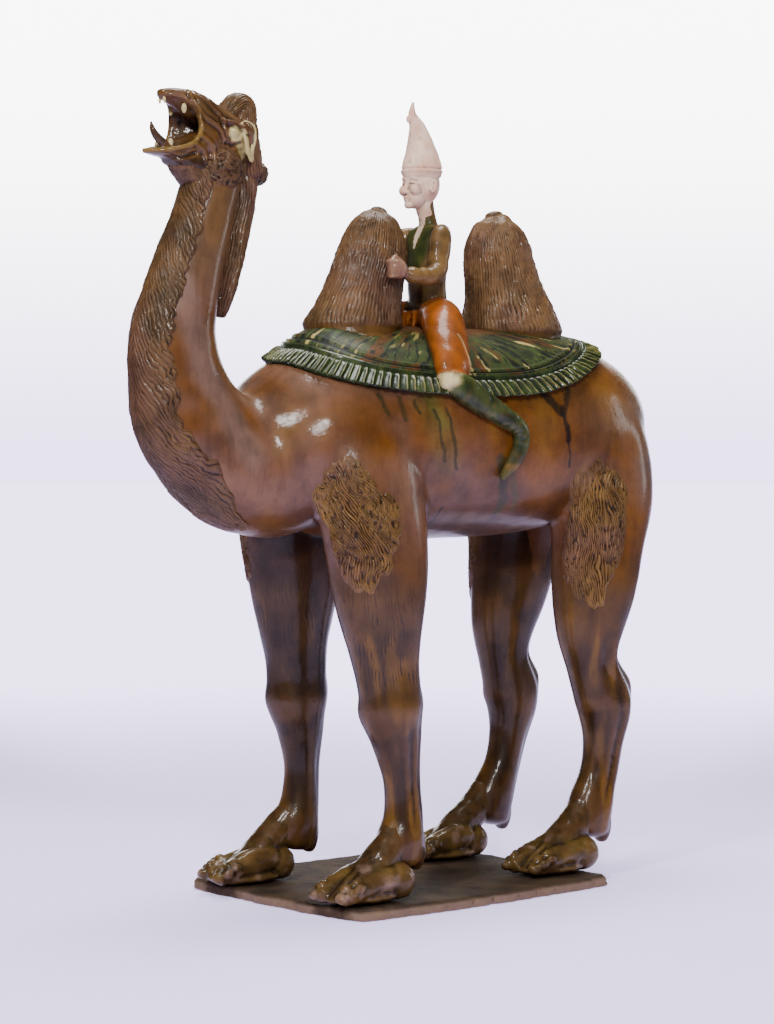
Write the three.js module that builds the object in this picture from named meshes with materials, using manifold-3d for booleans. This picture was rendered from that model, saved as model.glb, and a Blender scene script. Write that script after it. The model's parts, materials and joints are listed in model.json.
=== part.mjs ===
// A moulded earthenware camel with a rider between its humps, standing on a slab of its own.
// Millimetres, +Z up. The camel faces -X, its left flank faces -Y, and the slab's underside is at z = 0.
// The figure is made of lofted limbs: a row of stations is smoothed by a spline, and an oval ring is
// set square to the path at each step. Rings are then joined into one solid, as clay parts are luted.
import * as THREE from "three";
import { mergeVertices } from "three/addons/utils/BufferGeometryUtils.js";
import Module from "manifold-3d";

const wasm = await Module();
wasm.setup();

// Driving sizes, in millimetres unless the name says otherwise.
const CAMEL_HEIGHT = 830; // top of the slab to the top of the head tuft
const RIDER_HEIGHT = 246; // seat to the tip of the hat
const SLAB_THICKNESS = 12;
const SLAB_LEFT_MARGIN = 46; // slab beyond the middle of a foot
const SLAB_RIGHT_MARGIN = 64;
const SLAB_FRONT_MARGIN = 40;
const SLAB_REAR_MARGIN = 36;
const SLAB_BOW = 8; // how far the slab's edges bow out
const STANCE = 166; // middle of one forefoot to the other, sideways
const HIND_STANCE = 142;
const FORE_STRIDE = 22; // how far the left forefoot stands behind the right one
const HIND_STRIDE = 28;
const CLOTH_THICKNESS = 6;
const FRINGE_DROP = 20;
const FRINGE_THICKNESS = 6;
const FRINGE_FLARE = 7; // how far the hem stands off the body at the sides
const FRINGE_LIE = 0.5; // share of the flare that is left at the front and rear
const FRINGE_PLEATS = 38;
const FRINGE_LAP = 0.97; // share of the cloth's reach at which the fringe's heading sits on it
const HEADING_RIDGE = 1.5; // how far the heading stands off the cloth
const PLEAT_DEPTH = 3;
const HUMP_LOCKS = 16; // hair locks round each hump
const LOCK_DEPTH = 3;
const MANE_THICKNESS = 6;
const MANE_LOCKS = 17; // pairs of locks down the neck
const MANE_START = 0.16; // share of the neck's path, up from the chest, where the mane begins
const MANE_SPREAD = THREE.MathUtils.degToRad(61); // from the neck's front line to the mane's edge
const MANE_TAPER = 6; // how soon the mane reaches its width from each end
const TUFT_DEPTH = 6; // how far a hair patch stands off the skin
const PATCH_ROOT = 3; // how deep it is set into the skin elsewhere
const CONTACT_GAP = 0.3; // between pieces that rest on each other

// The camel's stations are drawn for a height of 830 and the rider's for a height of 246.
const CAMEL_SCALE = CAMEL_HEIGHT / 830;
const RIDER_SCALE = RIDER_HEIGHT / 246;
const LEFT = -1;
const RIGHT = 1;

// Stations of each limb: x, y, z, half-depth along the path's own plane, half-width sideways.
const TORSO = [
  [-214, 0, 444, 42, 40],
  [-198, 0, 447, 60, 64],
  [-170, 0, 453, 75, 88],
  [-128, 0, 463, 94, 104],
  [-60, 0, 472, 110, 112],
  [20, 0, 474, 110.5, 115],
  [100, 0, 475, 110, 117],
  [165, 0, 478, 108, 116],
  [215, 0, 483, 100, 109],
  [256, 0, 484, 85, 95],
  [288, 0, 480, 66, 77],
  [308, 0, 474, 44, 54],
];
const NECK = [
  [-120, 0, 452, 64, 74],
  [-168, 0, 444, 75, 76],
  [-210, 0, 446, 70, 62],
  [-244, 0, 464, 61, 50],
  [-272, 0, 498, 56, 43],
  [-285, 0, 540, 48, 36],
  [-286, 0, 576, 43, 33],
  [-277, 0, 610, 38, 31],
  [-266, 0, 645, 34, 29],
  [-253, 0, 680, 31, 27],
  [-245, 0, 708, 29, 26],
  [-234, 0, 742, 28, 26],
];
const FORELEG = [
  [-112, -58, 505, 34, 30],
  [-104, -70, 450, 58, 44],
  [-94, -77, 400, 58, 46],
  [-87, -79, 343, 53, 45],
  [-85, -80, 300, 47, 40],
  [-82, -80, 254, 37, 32],
  [-77, -80, 215, 32, 27],
  [-75, -80, 187, 32.5, 27.5],
  [-70, -80, 158, 26, 22],
  [-66, -80, 118, 19, 16.5],
  [-66, -80, 82, 20, 17.5],
  [-71, -80, 56, 25, 21],
  [-74, -80, 40, 24, 20],
];
const HINDLEG = [
  [243, -50, 512, 28, 24],
  [241, -58, 482, 51, 40],
  [237, -62, 445, 62, 47],
  [232, -66, 400, 63, 49],
  [226, -68, 354, 54, 44],
  [219, -69, 308, 48, 41],
  [212, -70, 260, 39, 33],
  [215, -70, 222, 30, 25.5],
  [227, -70, 190, 32, 26.5],
  [230, -70, 166, 30, 25],
  [226, -70, 134, 23, 19.5],
  [218, -70, 100, 21.5, 18.5],
  [205, -70, 68, 25, 21],
  [198, -70, 44, 25, 21],
];
const HIP_HEIGHT = 520; // a wider stance leans each leg out below this height
const FOREFOOT = [-124, 83]; // middle of the pad
const HINDFOOT = [142, 71];
const HIND_PIVOT = 300; // the stride swings each leg about this height
const FORE = { pivot: 210, stride: FORE_STRIDE, stance: STANCE };
const HIND = { pivot: HIND_PIVOT, stride: HIND_STRIDE, stance: HIND_STANCE };
// A toe of the left foot: back from the middle of the pad, outwards, z, half-height, half-width.
const TOE = [
  [40, 7, 17, 14, 15],
  [27, 9, 20, 25, 23],
  [4, 13, 20, 27, 23],
  [-20, 17, 14, 21, 20],
  [-37, 21, 10, 14, 16],
  [-44, 22, 8, 7, 9],
];
const PASTERN = { back: 12, rise: 34, lap: 12, deep: 25, wide: 22 };
// The spur at the back of the ankle: back from the ankle, z, half-depth, half-width.
const SPUR = [
  [4, 84, 12, 12],
  [15, 62, 11, 13],
  [20, 44, 8, 11],
  [21, 33, 3, 5],
];
const FRONT_HUMP = [
  [-64, 0, 560, 58, 52],
  [-62, 0, 576, 56, 50],
  [-56, 0, 600, 47, 43],
  [-48, 0, 628, 40, 37],
  [-39, 0, 657, 37.5, 35],
  [-33, 0, 684, 31, 29],
  [-29, 0, 700, 20, 19],
];
const REAR_HUMP = [
  [163, 0, 560, 60, 54],
  [161, 0, 576, 58, 52],
  [154, 0, 604, 51, 47],
  [148, 0, 630, 43, 40],
  [142, 0, 656, 38.5, 36],
  [136, 0, 686, 33, 31],
  [134, 0, 705, 21, 20],
];
const UPPER_HEAD = [
  [-301, 0, 809, 3, 7],
  [-292, 0, 810, 6, 12],
  [-278, 0, 808, 9.5, 15],
  [-262, 0, 800, 14, 18],
  [-248, 0, 788, 19, 22],
  [-232, 0, 776, 23, 26],
  [-215, 0, 764, 25, 28],
  [-203, 0, 757, 18, 20],
];
const LOWER_JAW = [
  [-322, 0, 751, 1.5, 6],
  [-310, 0, 750, 3.5, 11],
  [-296, 0, 748, 6.5, 14],
  [-282, 0, 744, 12, 17],
  [-264, 0, 744, 17, 20],
  [-246, 0, 748, 22, 24],
  [-226, 0, 754, 24, 26],
];
const HEAD_TUFT = [
  [-227, 0, 795, 5, 8],
  [-217, 0, 806, 12, 15],
  [-207, 0, 808, 14, 17],
  [-207, 0, 786, 14, 18],
  [-204, 0, 760, 16, 21],
  [-198, 0, 740, 17, 20],
  [-207, 0, 716, 12, 16],
  [-212, 0, 690, 10, 15],
  [-219, 0, 655, 9, 14],
  [-225, 0, 620, 8.5, 12.5],
  [-229, 0, 600, 6, 9],
  [-230, 0, 590, 3, 5],
];
const EAR = [
  [-219, -25, 783, 4, 3],
  [-210, -29, 774, 8, 4],
  [-208, -30, 757, 5, 3],
];
const TUSK = [
  [-299, -9, 752, 3.6, 3.6],
  [-311, -10, 760, 3, 3],
  [-315, -9, 773, 1.2, 1.2],
];
const TAIL = [
  [308, 0, 524, 9, 11],
  [324, 0, 502, 10, 12],
  [327, 0, 466, 10, 13],
  [321, 0, 430, 9, 13],
  [312, 0, 400, 5, 9],
];
const EYE = [-228, -22, 771, 8, 7, 8];
const CHEEK = [-241, -17, 738, 23, 15, 23];
const LIP = [-266, -16, 768, 12, 7, 25]; // the stretched cheek at each corner of the mouth

// The saddle cloth is laid over the torso: its length in front of and behind its middle, and the angle
// from the top of the body that it reaches at the sides. A high power squares off that end.
const CLOTH = {
  x: 30,
  front: { length: 190, power: 2.8 },
  rear: { length: 212, power: 1.8 },
  drop: THREE.MathUtils.degToRad(61),
};

// The hair patches of shoulder and thigh: which stations of the leg they lie on.
const SHOULDER_HAIR = [1, 6];
const THIGH_HAIR = [2, 7];
const PATCH_LOCKS = 6; // round the whole leg, of which the outer side shows

const RIDER_TORSO = [
  [46, 0, 574, 24, 34],
  [44, 0, 592, 25, 33],
  [40, 0, 612, 19, 26],
  [38, 0, 634, 17, 25],
  [38, 0, 656, 18.5, 27],
  [41, 0, 678, 18.5, 29],
  [43, 0, 695, 13, 25],
];
const RIDER_NECK = [
  [43, 0, 690, 10, 12],
  [39, 0, 708, 9, 9.5],
  [34, 0, 726, 10, 10],
];
const RIDER_HEAD = [
  [24, 0, 718, 9, 8],
  [27, 0, 724, 17, 13],
  [30, 0, 738, 21.5, 17],
  [33, 0, 752, 21.5, 18],
  [33, 0, 764, 14, 12],
];
const HAT = [
  [32, 0, 752, 21, 18],
  [31.5, 0, 756, 23, 20.5],
  [31, 0, 764, 22, 19.5],
  [29, 0, 784, 15.5, 14.5],
  [25, 0, 802, 9.5, 9],
  [18, 0, 816, 4.6, 4.6],
  [19, 0, 830, 1.4, 1.4],
];
const ARM = [
  [40, -24, 690, 10, 9],
  [30, -34, 684, 12, 10.5],
  [22, -40, 664, 11.5, 10.5],
  [14, -46, 645, 10.5, 10],
  [-6, -48, 640, 9, 9],
  [-26, -47, 641, 7.5, 7.5],
];
const FIST = [-41, -47, 646, 11, 9, 11];
const THIGH = [
  [38, -16, 600, 20, 22],
  [22, -46, 592, 24, 22],
  [4, -76, 568, 25, 19],
  [-10, -98, 546, 22, 16],
  [-20, -108, 528, 15, 12],
];
const BOOT = [
  [-30, -110, 528, 9, 9],
  [-16, -114, 525, 14, 12],
  [12, -119, 508, 13.5, 11.5],
  [42, -122, 492, 11, 10],
  [62, -123, 480, 9.5, 9],
  [66, -121, 462, 9, 8],
  [58, -117, 444, 8, 6.5],
  [47, -112, 428, 4, 4],
];

// Steps of each loft: sides of a ring and rings along the path.
const MESH = {
  torso: [20, 11],
  neck: [14, 10],
  leg: [10, 13],
  hump: [HUMP_LOCKS * 2, 5],
  head: [10, 7],
  tuft: [8, 10],
  small: [6, 3],
  toe: [8, 5],
  lump: [8, 5],
  patch: [PATCH_LOCKS * 2, 4],
  mane: [6, MANE_LOCKS * 2],
  rider: [10, 7],
  riderLimb: [8, 5],
  cloth: [32, 6],
  slabEdge: 6,
};

const scaled = (rows, s) => rows.map((row) => row.map((value) => value * s));

// Catmull-Rom value of a column of stations at place t, from 0 at the first row to 1 at the last.
function splineRow(rows, t) {
  const place = Math.min(Math.max(t, 0), 1) * (rows.length - 1);
  const i = Math.min(Math.floor(place), rows.length - 2);
  const f = place - i;
  const row = (k) => rows[Math.min(Math.max(k, 0), rows.length - 1)];
  return rows[i].map((_, c) => {
    const [a, b, p, q] = [row(i - 1)[c], row(i)[c], row(i + 1)[c], row(i + 2)[c]];
    const bend = 2 * a - 5 * b + 4 * p - q;
    const twist = 3 * b - a - 3 * p + q;
    return b + 0.5 * f * (p - a + f * (bend + f * twist));
  });
}

// A closed three.js geometry as a solid, with its faces turned outwards.
function solid(geometry) {
  const bare = geometry.clone();
  bare.deleteAttribute("normal");
  bare.deleteAttribute("uv");
  const merged = mergeVertices(bare, 1e-4);
  const triVerts = new Uint32Array(merged.index.array);
  const vertProperties = merged.attributes.position.array;
  const make = () => new wasm.Manifold(new wasm.Mesh({ numProp: 3, vertProperties, triVerts }));
  const made = make();
  if (made.volume() > 0) return made;
  for (let i = 0; i < triVerts.length; i += 3) {
    [triVerts[i + 1], triVerts[i + 2]] = [triVerts[i + 2], triVerts[i + 1]];
  }
  return make();
}

// Moves each vertex of a sphere or torus to place(u, v), where u runs round it and v from pole to pole.
function reshaped(geometry, place) {
  const { position, uv } = geometry.attributes;
  const columns = geometry.parameters.widthSegments;
  for (let i = 0; i < position.count; i++) {
    const v = uv.getY(i);
    const atPole = columns && (v < 1e-6 || v > 1 - 1e-6);
    const u = atPole ? 0 : uv.getX(i) % 1;
    const p = place(u, v);
    position.setXYZ(i, p.x, p.y, p.z);
  }
  return solid(geometry);
}

// A limb's ring at place t: its centre, its path's direction, the two directions square to that, and its
// half-sizes.
function ringAt(stations, t) {
  const sideways = new THREE.Vector3(0, 1, 0);
  const at = (place) => new THREE.Vector3(...splineRow(stations, place).slice(0, 3));
  const [x, y, z, deep, wide] = splineRow(stations, t);
  const path = at(t + 1e-3).sub(at(t - 1e-3)).normalize();
  const up = new THREE.Vector3().crossVectors(path, sideways).normalize();
  const across = new THREE.Vector3().crossVectors(up, path).normalize();
  return { centre: new THREE.Vector3(x, y, z), path, up, across, deep, wide };
}

// A point of that ring, at an angle from its up direction, with both half-sizes larger by more.
function ringPoint(stations, t, angle, more = 0) {
  const { centre, up, across, deep, wide } = ringAt(stations, t);
  return centre
    .addScaledVector(up, Math.cos(angle) * (deep + more))
    .addScaledVector(across, Math.sin(angle) * (wide + more));
}

// A limb: oval rings square to the path through the stations. Each end closes on a rounded pole.
// relief(u, v) is added to the ring's radii, and grow widens the whole limb.
function limb(stations, [sides, rings], { relief = () => 0, grow = 0, poleReach = 0.5 } = {}) {
  return reshaped(new THREE.SphereGeometry(1, sides, rings + 1), (u, v) => {
    const t = (v * (rings + 1) - 1) / (rings - 1);
    const inside = Math.min(Math.max(t, 0), 1);
    const pole = t < -1e-6 ? -1 : t > 1 + 1e-6 ? 1 : 0;
    if (pole) {
      const { centre, path, deep, wide } = ringAt(stations, inside);
      return centre.addScaledVector(path, pole * (Math.min(deep, wide) * poleReach + grow));
    }
    return ringPoint(stations, inside, u * 2 * Math.PI, relief(u, inside) + grow);
  });
}

// An egg-shaped lump with half-sizes dx, dy, dz, and relief(u, v) added along its radius.
function lump([x, y, z, dx, dy, dz], [sides, rings], relief = () => 0) {
  return reshaped(new THREE.SphereGeometry(1, sides, rings), (u, v) => {
    const [turn, rise] = [u * 2 * Math.PI, (v - 0.5) * Math.PI];
    const radius = 1 + relief(u, v) / Math.max(dx, dz);
    return new THREE.Vector3(
      x + dx * radius * Math.cos(rise) * Math.cos(turn),
      y + dy * radius * Math.cos(rise) * Math.sin(turn),
      z + dz * Math.sin(rise),
    );
  });
}

const joined = (pieces) => pieces.reduce((whole, piece) => whole.add(piece));

// Fills the small sealed voids that are left between pieces that only touch round their edges.
const filled = (made) => joined(made.decompose().filter((body) => body.volume() > 0));
const onSide = (rows, side) => rows.map(([x, y, ...rest]) => [x, -side * y, ...rest]);
const torsoRows = scaled(TORSO, CAMEL_SCALE);
const SIDE_RADIUS = 113; // of the torso's section at the cloth's hem, as drawn

// The point on the torso at angle t from its top ridge, lifted off the skin. x picks the section.
function torsoPoint(x, t, lift) {
  let [low, high] = [0, 1];
  for (let i = 0; i < 24; i++) {
    const middle = (low + high) / 2;
    if (ringPoint(torsoRows, middle, t).x < x) low = middle;
    else high = middle;
  }
  const { up, across, deep, wide } = ringAt(torsoRows, low);
  const normal = up.multiplyScalar(Math.cos(t) / deep).addScaledVector(across, Math.sin(t) / wide).normalize();
  return ringPoint(torsoRows, low, t).addScaledVector(normal, lift);
}

// A point of the cloth: turn runs round its outline, share is 1 there, and beyond is a distance past it.
function clothPoint(turn, share, lift, beyond = 0) {
  const [ahead, sideways] = [Math.cos(turn), Math.sin(turn)];
  const { length, power } = ahead < 0 ? CLOTH.front : CLOTH.rear;
  const square = (Math.abs(ahead) ** power + Math.abs(sideways) ** power) ** (-1 / power);
  const x = CAMEL_SCALE * CLOTH.x + ahead * square * (CAMEL_SCALE * length * share + beyond);
  const angle = sideways * square * (CLOTH.drop * share + beyond / (CAMEL_SCALE * SIDE_RADIUS));
  return torsoPoint(x, angle, lift);
}

function saddleCloth(grow) {
  const [, rows] = MESH.cloth;
  return reshaped(new THREE.SphereGeometry(1, ...MESH.cloth), (u, v) => {
    const row = Math.round(v * rows);
    const share = row === 0 ? 0 : (rows - row) / (rows - 2);
    const lift = row > 1 ? CLOTH_THICKNESS + grow : -CLOTH_THICKNESS;
    return clothPoint(u * 2 * Math.PI, Math.min(share, 1), lift, share < 1 ? 0 : grow);
  });
}

// The pleated fringe: a band from the cloth's hem that flares out and down.
function fringe(grow) {
  const hem = FRINGE_DROP + grow;
  const section = [
    { share: FRINGE_LAP, beyond: -grow, lift: CLOTH_THICKNESS + HEADING_RIDGE + grow, flare: 0, pleat: 0 },
    { share: 1, beyond: hem, lift: FRINGE_THICKNESS + grow, flare: FRINGE_FLARE, pleat: PLEAT_DEPTH },
    { share: 1, beyond: hem, lift: -grow, flare: FRINGE_FLARE, pleat: 0 },
    { share: FRINGE_LAP, beyond: -grow, lift: -1, flare: 0, pleat: 0 },
  ];
  const ring = new THREE.TorusGeometry(1, 0.4, section.length, FRINGE_PLEATS * 2);
  return reshaped(ring, (u, v) => {
    const { share, beyond, lift, flare, pleat } = section[Math.round(v * section.length) % section.length];
    const turn = u * 2 * Math.PI;
    const hang = FRINGE_LIE + (1 - FRINGE_LIE) * Math.sin(turn) ** 2;
    const ridge = Math.round(u * FRINGE_PLEATS * 2) % 2 ? 0.5 : -0.5;
    return clothPoint(turn, share, lift + flare * hang + pleat * ridge, beyond);
  });
}

function hump(stations, grow) {
  const locks = (u, v) => LOCK_DEPTH * 0.5 * Math.cos(u * 2 * Math.PI * HUMP_LOCKS) * (1 - v * v);
  return limb(scaled(stations, CAMEL_SCALE), MESH.hump, { relief: locks, grow, poleReach: 0.4 });
}

// What the rider sits on: the back, the cloth and the humps, widened by grow.
function mount(grow) {
  return joined([
    limb(torsoRows, MESH.torso, { grow }),
    saddleCloth(grow),
    fringe(grow),
    hump(FRONT_HUMP, grow),
    hump(REAR_HUMP, grow),
  ]);
}

// A hair patch: locks that stand off the outer side of a leg and run out at the patch's edge.
function hairPatch(rows, [first, last], side) {
  const locks = (u, v) => {
    const angle = u * 2 * Math.PI;
    const outward = Math.max(0, side * Math.sin(angle)) ** 0.5 * Math.sin(Math.PI * v) ** 0.5;
    const lock = 0.7 + 0.3 * Math.cos(angle * PATCH_LOCKS + v * Math.PI);
    return (TUFT_DEPTH + PATCH_ROOT) * lock * outward - PATCH_ROOT;
  };
  return limb(scaled(rows.slice(first, last + 1), CAMEL_SCALE), MESH.patch, { relief: locks });
}

// A leg of one side with its foot. The stride swings it back on the left and forward on the right.
function leg(stations, [footX, footY], hair, { pivot, stride, stance, side }) {
  const swing = (z) => -side * (stride / CAMEL_SCALE / 2) * (1 - Math.min(z, HIND_PIVOT) / pivot);
  const lean = (z) => (stance / CAMEL_SCALE / 2 - footY) * (1 - z / HIP_HEIGHT);
  const rows = stations.map(([x, y, z, ...sizes]) => {
    return [x + swing(z), side * (Math.abs(y) + lean(z)), z, ...sizes];
  });
  const foot = { x: footX + swing(0), y: side * (footY + lean(0)) };
  const [ankleX, ankleY, ankleZ] = rows[rows.length - 1];
  const toes = [LEFT, RIGHT].map((toe) =>
    TOE.map(([back, out, z, ...sizes]) => [foot.x + back, foot.y + toe * out, z, ...sizes]),
  );
  const pastern = [
    [ankleX, ankleY, ankleZ + PASTERN.lap, PASTERN.deep, PASTERN.wide],
    [(ankleX + foot.x + PASTERN.back) / 2, foot.y, PASTERN.rise, PASTERN.deep, PASTERN.wide],
    [foot.x + PASTERN.back, foot.y, PASTERN.rise / 2, PASTERN.deep, PASTERN.wide],
  ];
  const spur = SPUR.map(([back, z, ...sizes]) => [ankleX + back, ankleY, z, ...sizes]);
  return [
    limb(scaled(rows, CAMEL_SCALE), MESH.leg),
    hairPatch(rows, hair, side),
    ...[pastern, spur].map((piece) => limb(scaled(piece, CAMEL_SCALE), MESH.small)),
    ...toes.map((toe) => limb(scaled(toe, CAMEL_SCALE), MESH.toe)),
  ];
}

// The mane: a raised strip over the front of the neck, carved in slanting locks that meet on its ridge.
function mane() {
  const rows = scaled(NECK, CAMEL_SCALE);
  const sideways = new THREE.Vector3(0, 1, 0);
  const [across, along] = MESH.mane;
  const back = 2; // of the strip's sides, this many close it inside the neck
  const centreOf = (t) => new THREE.Vector3(...splineRow(rows, t).slice(0, 3));
  return reshaped(new THREE.SphereGeometry(1, across + back, along), (u, v) => {
    const t = MANE_START + (1 - MANE_START) * v;
    const [x, y, z, deep, wide] = splineRow(rows, t);
    const path = centreOf(t + 1e-3).sub(centreOf(t - 1e-3)).normalize();
    const front = new THREE.Vector3().crossVectors(path, sideways).normalize();
    const side = Math.round(u * (across + back));
    const outer = side <= across;
    const spread = outer ? (2 * side) / across - 1 : 0;
    const full = Math.min(1, MANE_TAPER * Math.sin(Math.PI * v));
    const angle = MANE_SPREAD * spread * full;
    const lock = 0.5 + 0.5 * Math.cos(2 * Math.PI * (v * MANE_LOCKS + Math.abs(spread)));
    const lift = outer ? MANE_THICKNESS * (0.35 + 0.65 * lock) * full : -MANE_THICKNESS;
    return new THREE.Vector3(x, y, z)
      .addScaledVector(front, Math.cos(angle) * (deep + lift))
      .addScaledVector(sideways, Math.sin(angle) * (wide + lift));
  });
}

function head() {
  const eachSide = (make) => [LEFT, RIGHT].map((side) => make((rows) => onSide(rows, -side)));
  const ears = eachSide((turned) => limb(scaled(turned(EAR), CAMEL_SCALE), MESH.small));
  const bumps = [CHEEK, LIP, EYE].flatMap((bump) =>
    eachSide((turned) => lump(scaled(turned([bump]), CAMEL_SCALE)[0], MESH.lump)),
  );
  return [
    limb(scaled(UPPER_HEAD, CAMEL_SCALE), MESH.head),
    limb(scaled(LOWER_JAW, CAMEL_SCALE), MESH.head),
    limb(scaled(HEAD_TUFT, CAMEL_SCALE), MESH.tuft),
    limb(scaled(TUSK, CAMEL_SCALE), MESH.small),
    ...ears,
    ...bumps,
  ];
}

function camel() {
  const whole = joined([
    mount(0),
    limb(scaled(NECK, CAMEL_SCALE), MESH.neck),
    mane(),
    ...head(),
    limb(scaled(TAIL, CAMEL_SCALE), MESH.small),
    ...[LEFT, RIGHT].flatMap((side) => [
      ...leg(FORELEG, FOREFOOT, SHOULDER_HAIR, { ...FORE, side }),
      ...leg(HINDLEG, HINDFOOT, THIGH_HAIR, { ...HIND, side }),
    ]),
  ]);
  const reach = CAMEL_HEIGHT * 2;
  const below = solid(new THREE.BoxGeometry(reach, reach, reach).translate(0, 0, -reach / 2));
  return filled(whole.subtract(below));
}

// The rider sits where the camel's back is, and keeps its own scale about the seat.
function rider() {
  const seat = [44, 0, 584];
  const place = (rows) =>
    rows.map(([x, y, z, ...sizes]) => [
      seat[0] * CAMEL_SCALE + (x - seat[0]) * RIDER_SCALE,
      y * RIDER_SCALE,
      seat[2] * CAMEL_SCALE + (z - seat[2]) * RIDER_SCALE,
      ...sizes.map((size) => size * RIDER_SCALE),
    ]);
  const both = (rows) => [LEFT, RIGHT].map((side) => limb(onSide(place(rows), -side), MESH.riderLimb));
  const fists = [LEFT, RIGHT].map((side) => lump(onSide(place([FIST]), -side)[0], MESH.lump));
  const body = joined([
    limb(place(RIDER_TORSO), MESH.rider),
    limb(place(RIDER_NECK), MESH.small),
    limb(place(RIDER_HEAD), MESH.rider),
    limb(place(HAT), MESH.rider, { poleReach: 1 }),
    ...both(ARM),
    ...fists,
    ...both(THIGH),
    ...both(BOOT),
  ]);
  const cut = body.subtract(mount(CONTACT_GAP));
  return cut.decompose().sort((a, b) => b.volume() - a.volume())[0];
}

// The slab: four bowed edges, set out from the middles of the feet.
function slab() {
  const corners = [
    [FOREFOOT, FORE, -SLAB_FRONT_MARGIN, LEFT],
    [HINDFOOT, HIND, SLAB_REAR_MARGIN, LEFT],
    [HINDFOOT, HIND, SLAB_REAR_MARGIN, RIGHT],
    [FOREFOOT, FORE, -SLAB_FRONT_MARGIN, RIGHT],
  ].map(([foot, { stride }, margin, side]) => {
    const out = Math.max(STANCE, HIND_STANCE) / 2 + (side === LEFT ? SLAB_LEFT_MARGIN : SLAB_RIGHT_MARGIN);
    return [foot[0] * CAMEL_SCALE - (side * stride) / 2 + margin, side * out];
  });
  const middle = [0, 1].map((axis) => corners.reduce((sum, corner) => sum + corner[axis], 0) / 4);
  const outline = new THREE.Shape();
  outline.moveTo(...corners[0]);
  corners.forEach(([x, y], i) => {
    const [nextX, nextY] = corners[(i + 1) % corners.length];
    const [midX, midY] = [(x + nextX) / 2, (y + nextY) / 2];
    const away = new THREE.Vector2(midX - middle[0], midY - middle[1]).setLength(SLAB_BOW * 2);
    outline.quadraticCurveTo(midX + away.x, midY + away.y, nextX, nextY);
  });
  const chamfer = SLAB_THICKNESS / 4;
  const geometry = new THREE.ExtrudeGeometry(outline, {
    depth: SLAB_THICKNESS - chamfer * 2,
    curveSegments: MESH.slabEdge,
    bevelEnabled: true,
    bevelSegments: 1,
    bevelThickness: chamfer,
    bevelSize: chamfer,
    bevelOffset: -chamfer,
  });
  return solid(geometry.translate(0, 0, chamfer));
}

// Colours of the glazes, as the body shows them, and of the unglazed clay.
const AMBER_GLAZE = { color: 0x7a4a1e, roughness: 0.2, metalness: 0 };
const RIDER_GLAZE = { color: 0x9a5a22, roughness: 0.22, metalness: 0 };
const BARE_CLAY = { color: 0x8b7a6a, roughness: 0.85, metalness: 0 };

function node(name, made, finish, lift) {
  const { vertProperties, triVerts, numProp, numVert } = made.getMesh();
  const points = new Float32Array(numVert * 3);
  for (let i = 0; i < numVert; i++) points.set(vertProperties.subarray(i * numProp, i * numProp + 3), i * 3);
  const geometry = new THREE.BufferGeometry()
    .setAttribute("position", new THREE.BufferAttribute(points, 3))
    .setIndex(new THREE.BufferAttribute(triVerts, 1));
  geometry.computeVertexNormals();
  const mesh = new THREE.Mesh(geometry, new THREE.MeshStandardMaterial(finish));
  mesh.name = name;
  mesh.position.z = lift;
  return mesh;
}

const standingHeight = SLAB_THICKNESS + CONTACT_GAP;
const figure = new THREE.Group();
figure.add(
  node("base_slab", slab(), BARE_CLAY, 0),
  node("camel", camel(), AMBER_GLAZE, standingHeight),
  node("rider", rider(), RIDER_GLAZE, standingHeight),
);

export default figure;
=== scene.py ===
# %% [markdown]
# # A camel in three glazes, with its rider
# The potter pressed this camel in moulds, luted its parts together with slip, combed the hair into the
# soft clay and let lead glazes run over it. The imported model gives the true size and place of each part.
# Here each part gets its fine surface. Everything is worked out with numpy as whole arrays of points.

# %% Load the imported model
import json
import math

import bmesh
import bpy
import mathutils
import mathutils.bvhtree
import numpy as np
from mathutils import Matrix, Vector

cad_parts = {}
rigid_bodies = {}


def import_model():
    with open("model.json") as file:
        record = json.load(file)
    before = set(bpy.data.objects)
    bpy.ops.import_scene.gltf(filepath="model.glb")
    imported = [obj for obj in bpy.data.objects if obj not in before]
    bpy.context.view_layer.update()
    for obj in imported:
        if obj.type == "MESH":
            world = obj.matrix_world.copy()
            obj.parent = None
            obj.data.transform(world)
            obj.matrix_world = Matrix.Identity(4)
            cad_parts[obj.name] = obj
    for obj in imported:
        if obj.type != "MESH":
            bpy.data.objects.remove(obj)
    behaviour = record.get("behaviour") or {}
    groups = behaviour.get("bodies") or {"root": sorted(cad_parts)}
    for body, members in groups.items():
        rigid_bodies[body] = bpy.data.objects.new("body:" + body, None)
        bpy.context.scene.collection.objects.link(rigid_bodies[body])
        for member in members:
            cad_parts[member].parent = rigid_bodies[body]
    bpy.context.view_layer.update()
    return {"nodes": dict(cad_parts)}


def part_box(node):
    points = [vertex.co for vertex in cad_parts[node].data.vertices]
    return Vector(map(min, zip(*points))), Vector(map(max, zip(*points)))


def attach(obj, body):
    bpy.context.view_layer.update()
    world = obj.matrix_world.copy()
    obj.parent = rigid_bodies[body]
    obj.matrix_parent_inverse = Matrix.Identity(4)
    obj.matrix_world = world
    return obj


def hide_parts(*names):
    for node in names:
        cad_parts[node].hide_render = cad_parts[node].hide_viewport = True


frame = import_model()
print("nodes in the frame:", sorted(frame["nodes"]))

# %% [markdown]
# ## Sizes
# The stations below are drawn in millimetres above the soles. One scale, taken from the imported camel,
# turns them into metres, so the fine pieces stay where the solids are.

# %% Scale and height of the drawing
DRAWN_HEIGHT = 818.6
camel_low, camel_high = (np.array(corner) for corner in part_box("camel"))
MM = (camel_high[2] - camel_low[2]) / DRAWN_HEIGHT
SOLES = camel_low[2]
LEFT, RIGHT = -1, 1


def placed(points):
    """Metres in the shared frame: the drawing's millimetres times the scale, raised to the soles."""
    return np.asarray(points, float) * MM + [0, 0, SOLES]


print(f"one drawn millimetre is {MM * 1000:.4f} mm, and the soles stand at {SOLES:.4f} m")

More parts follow.
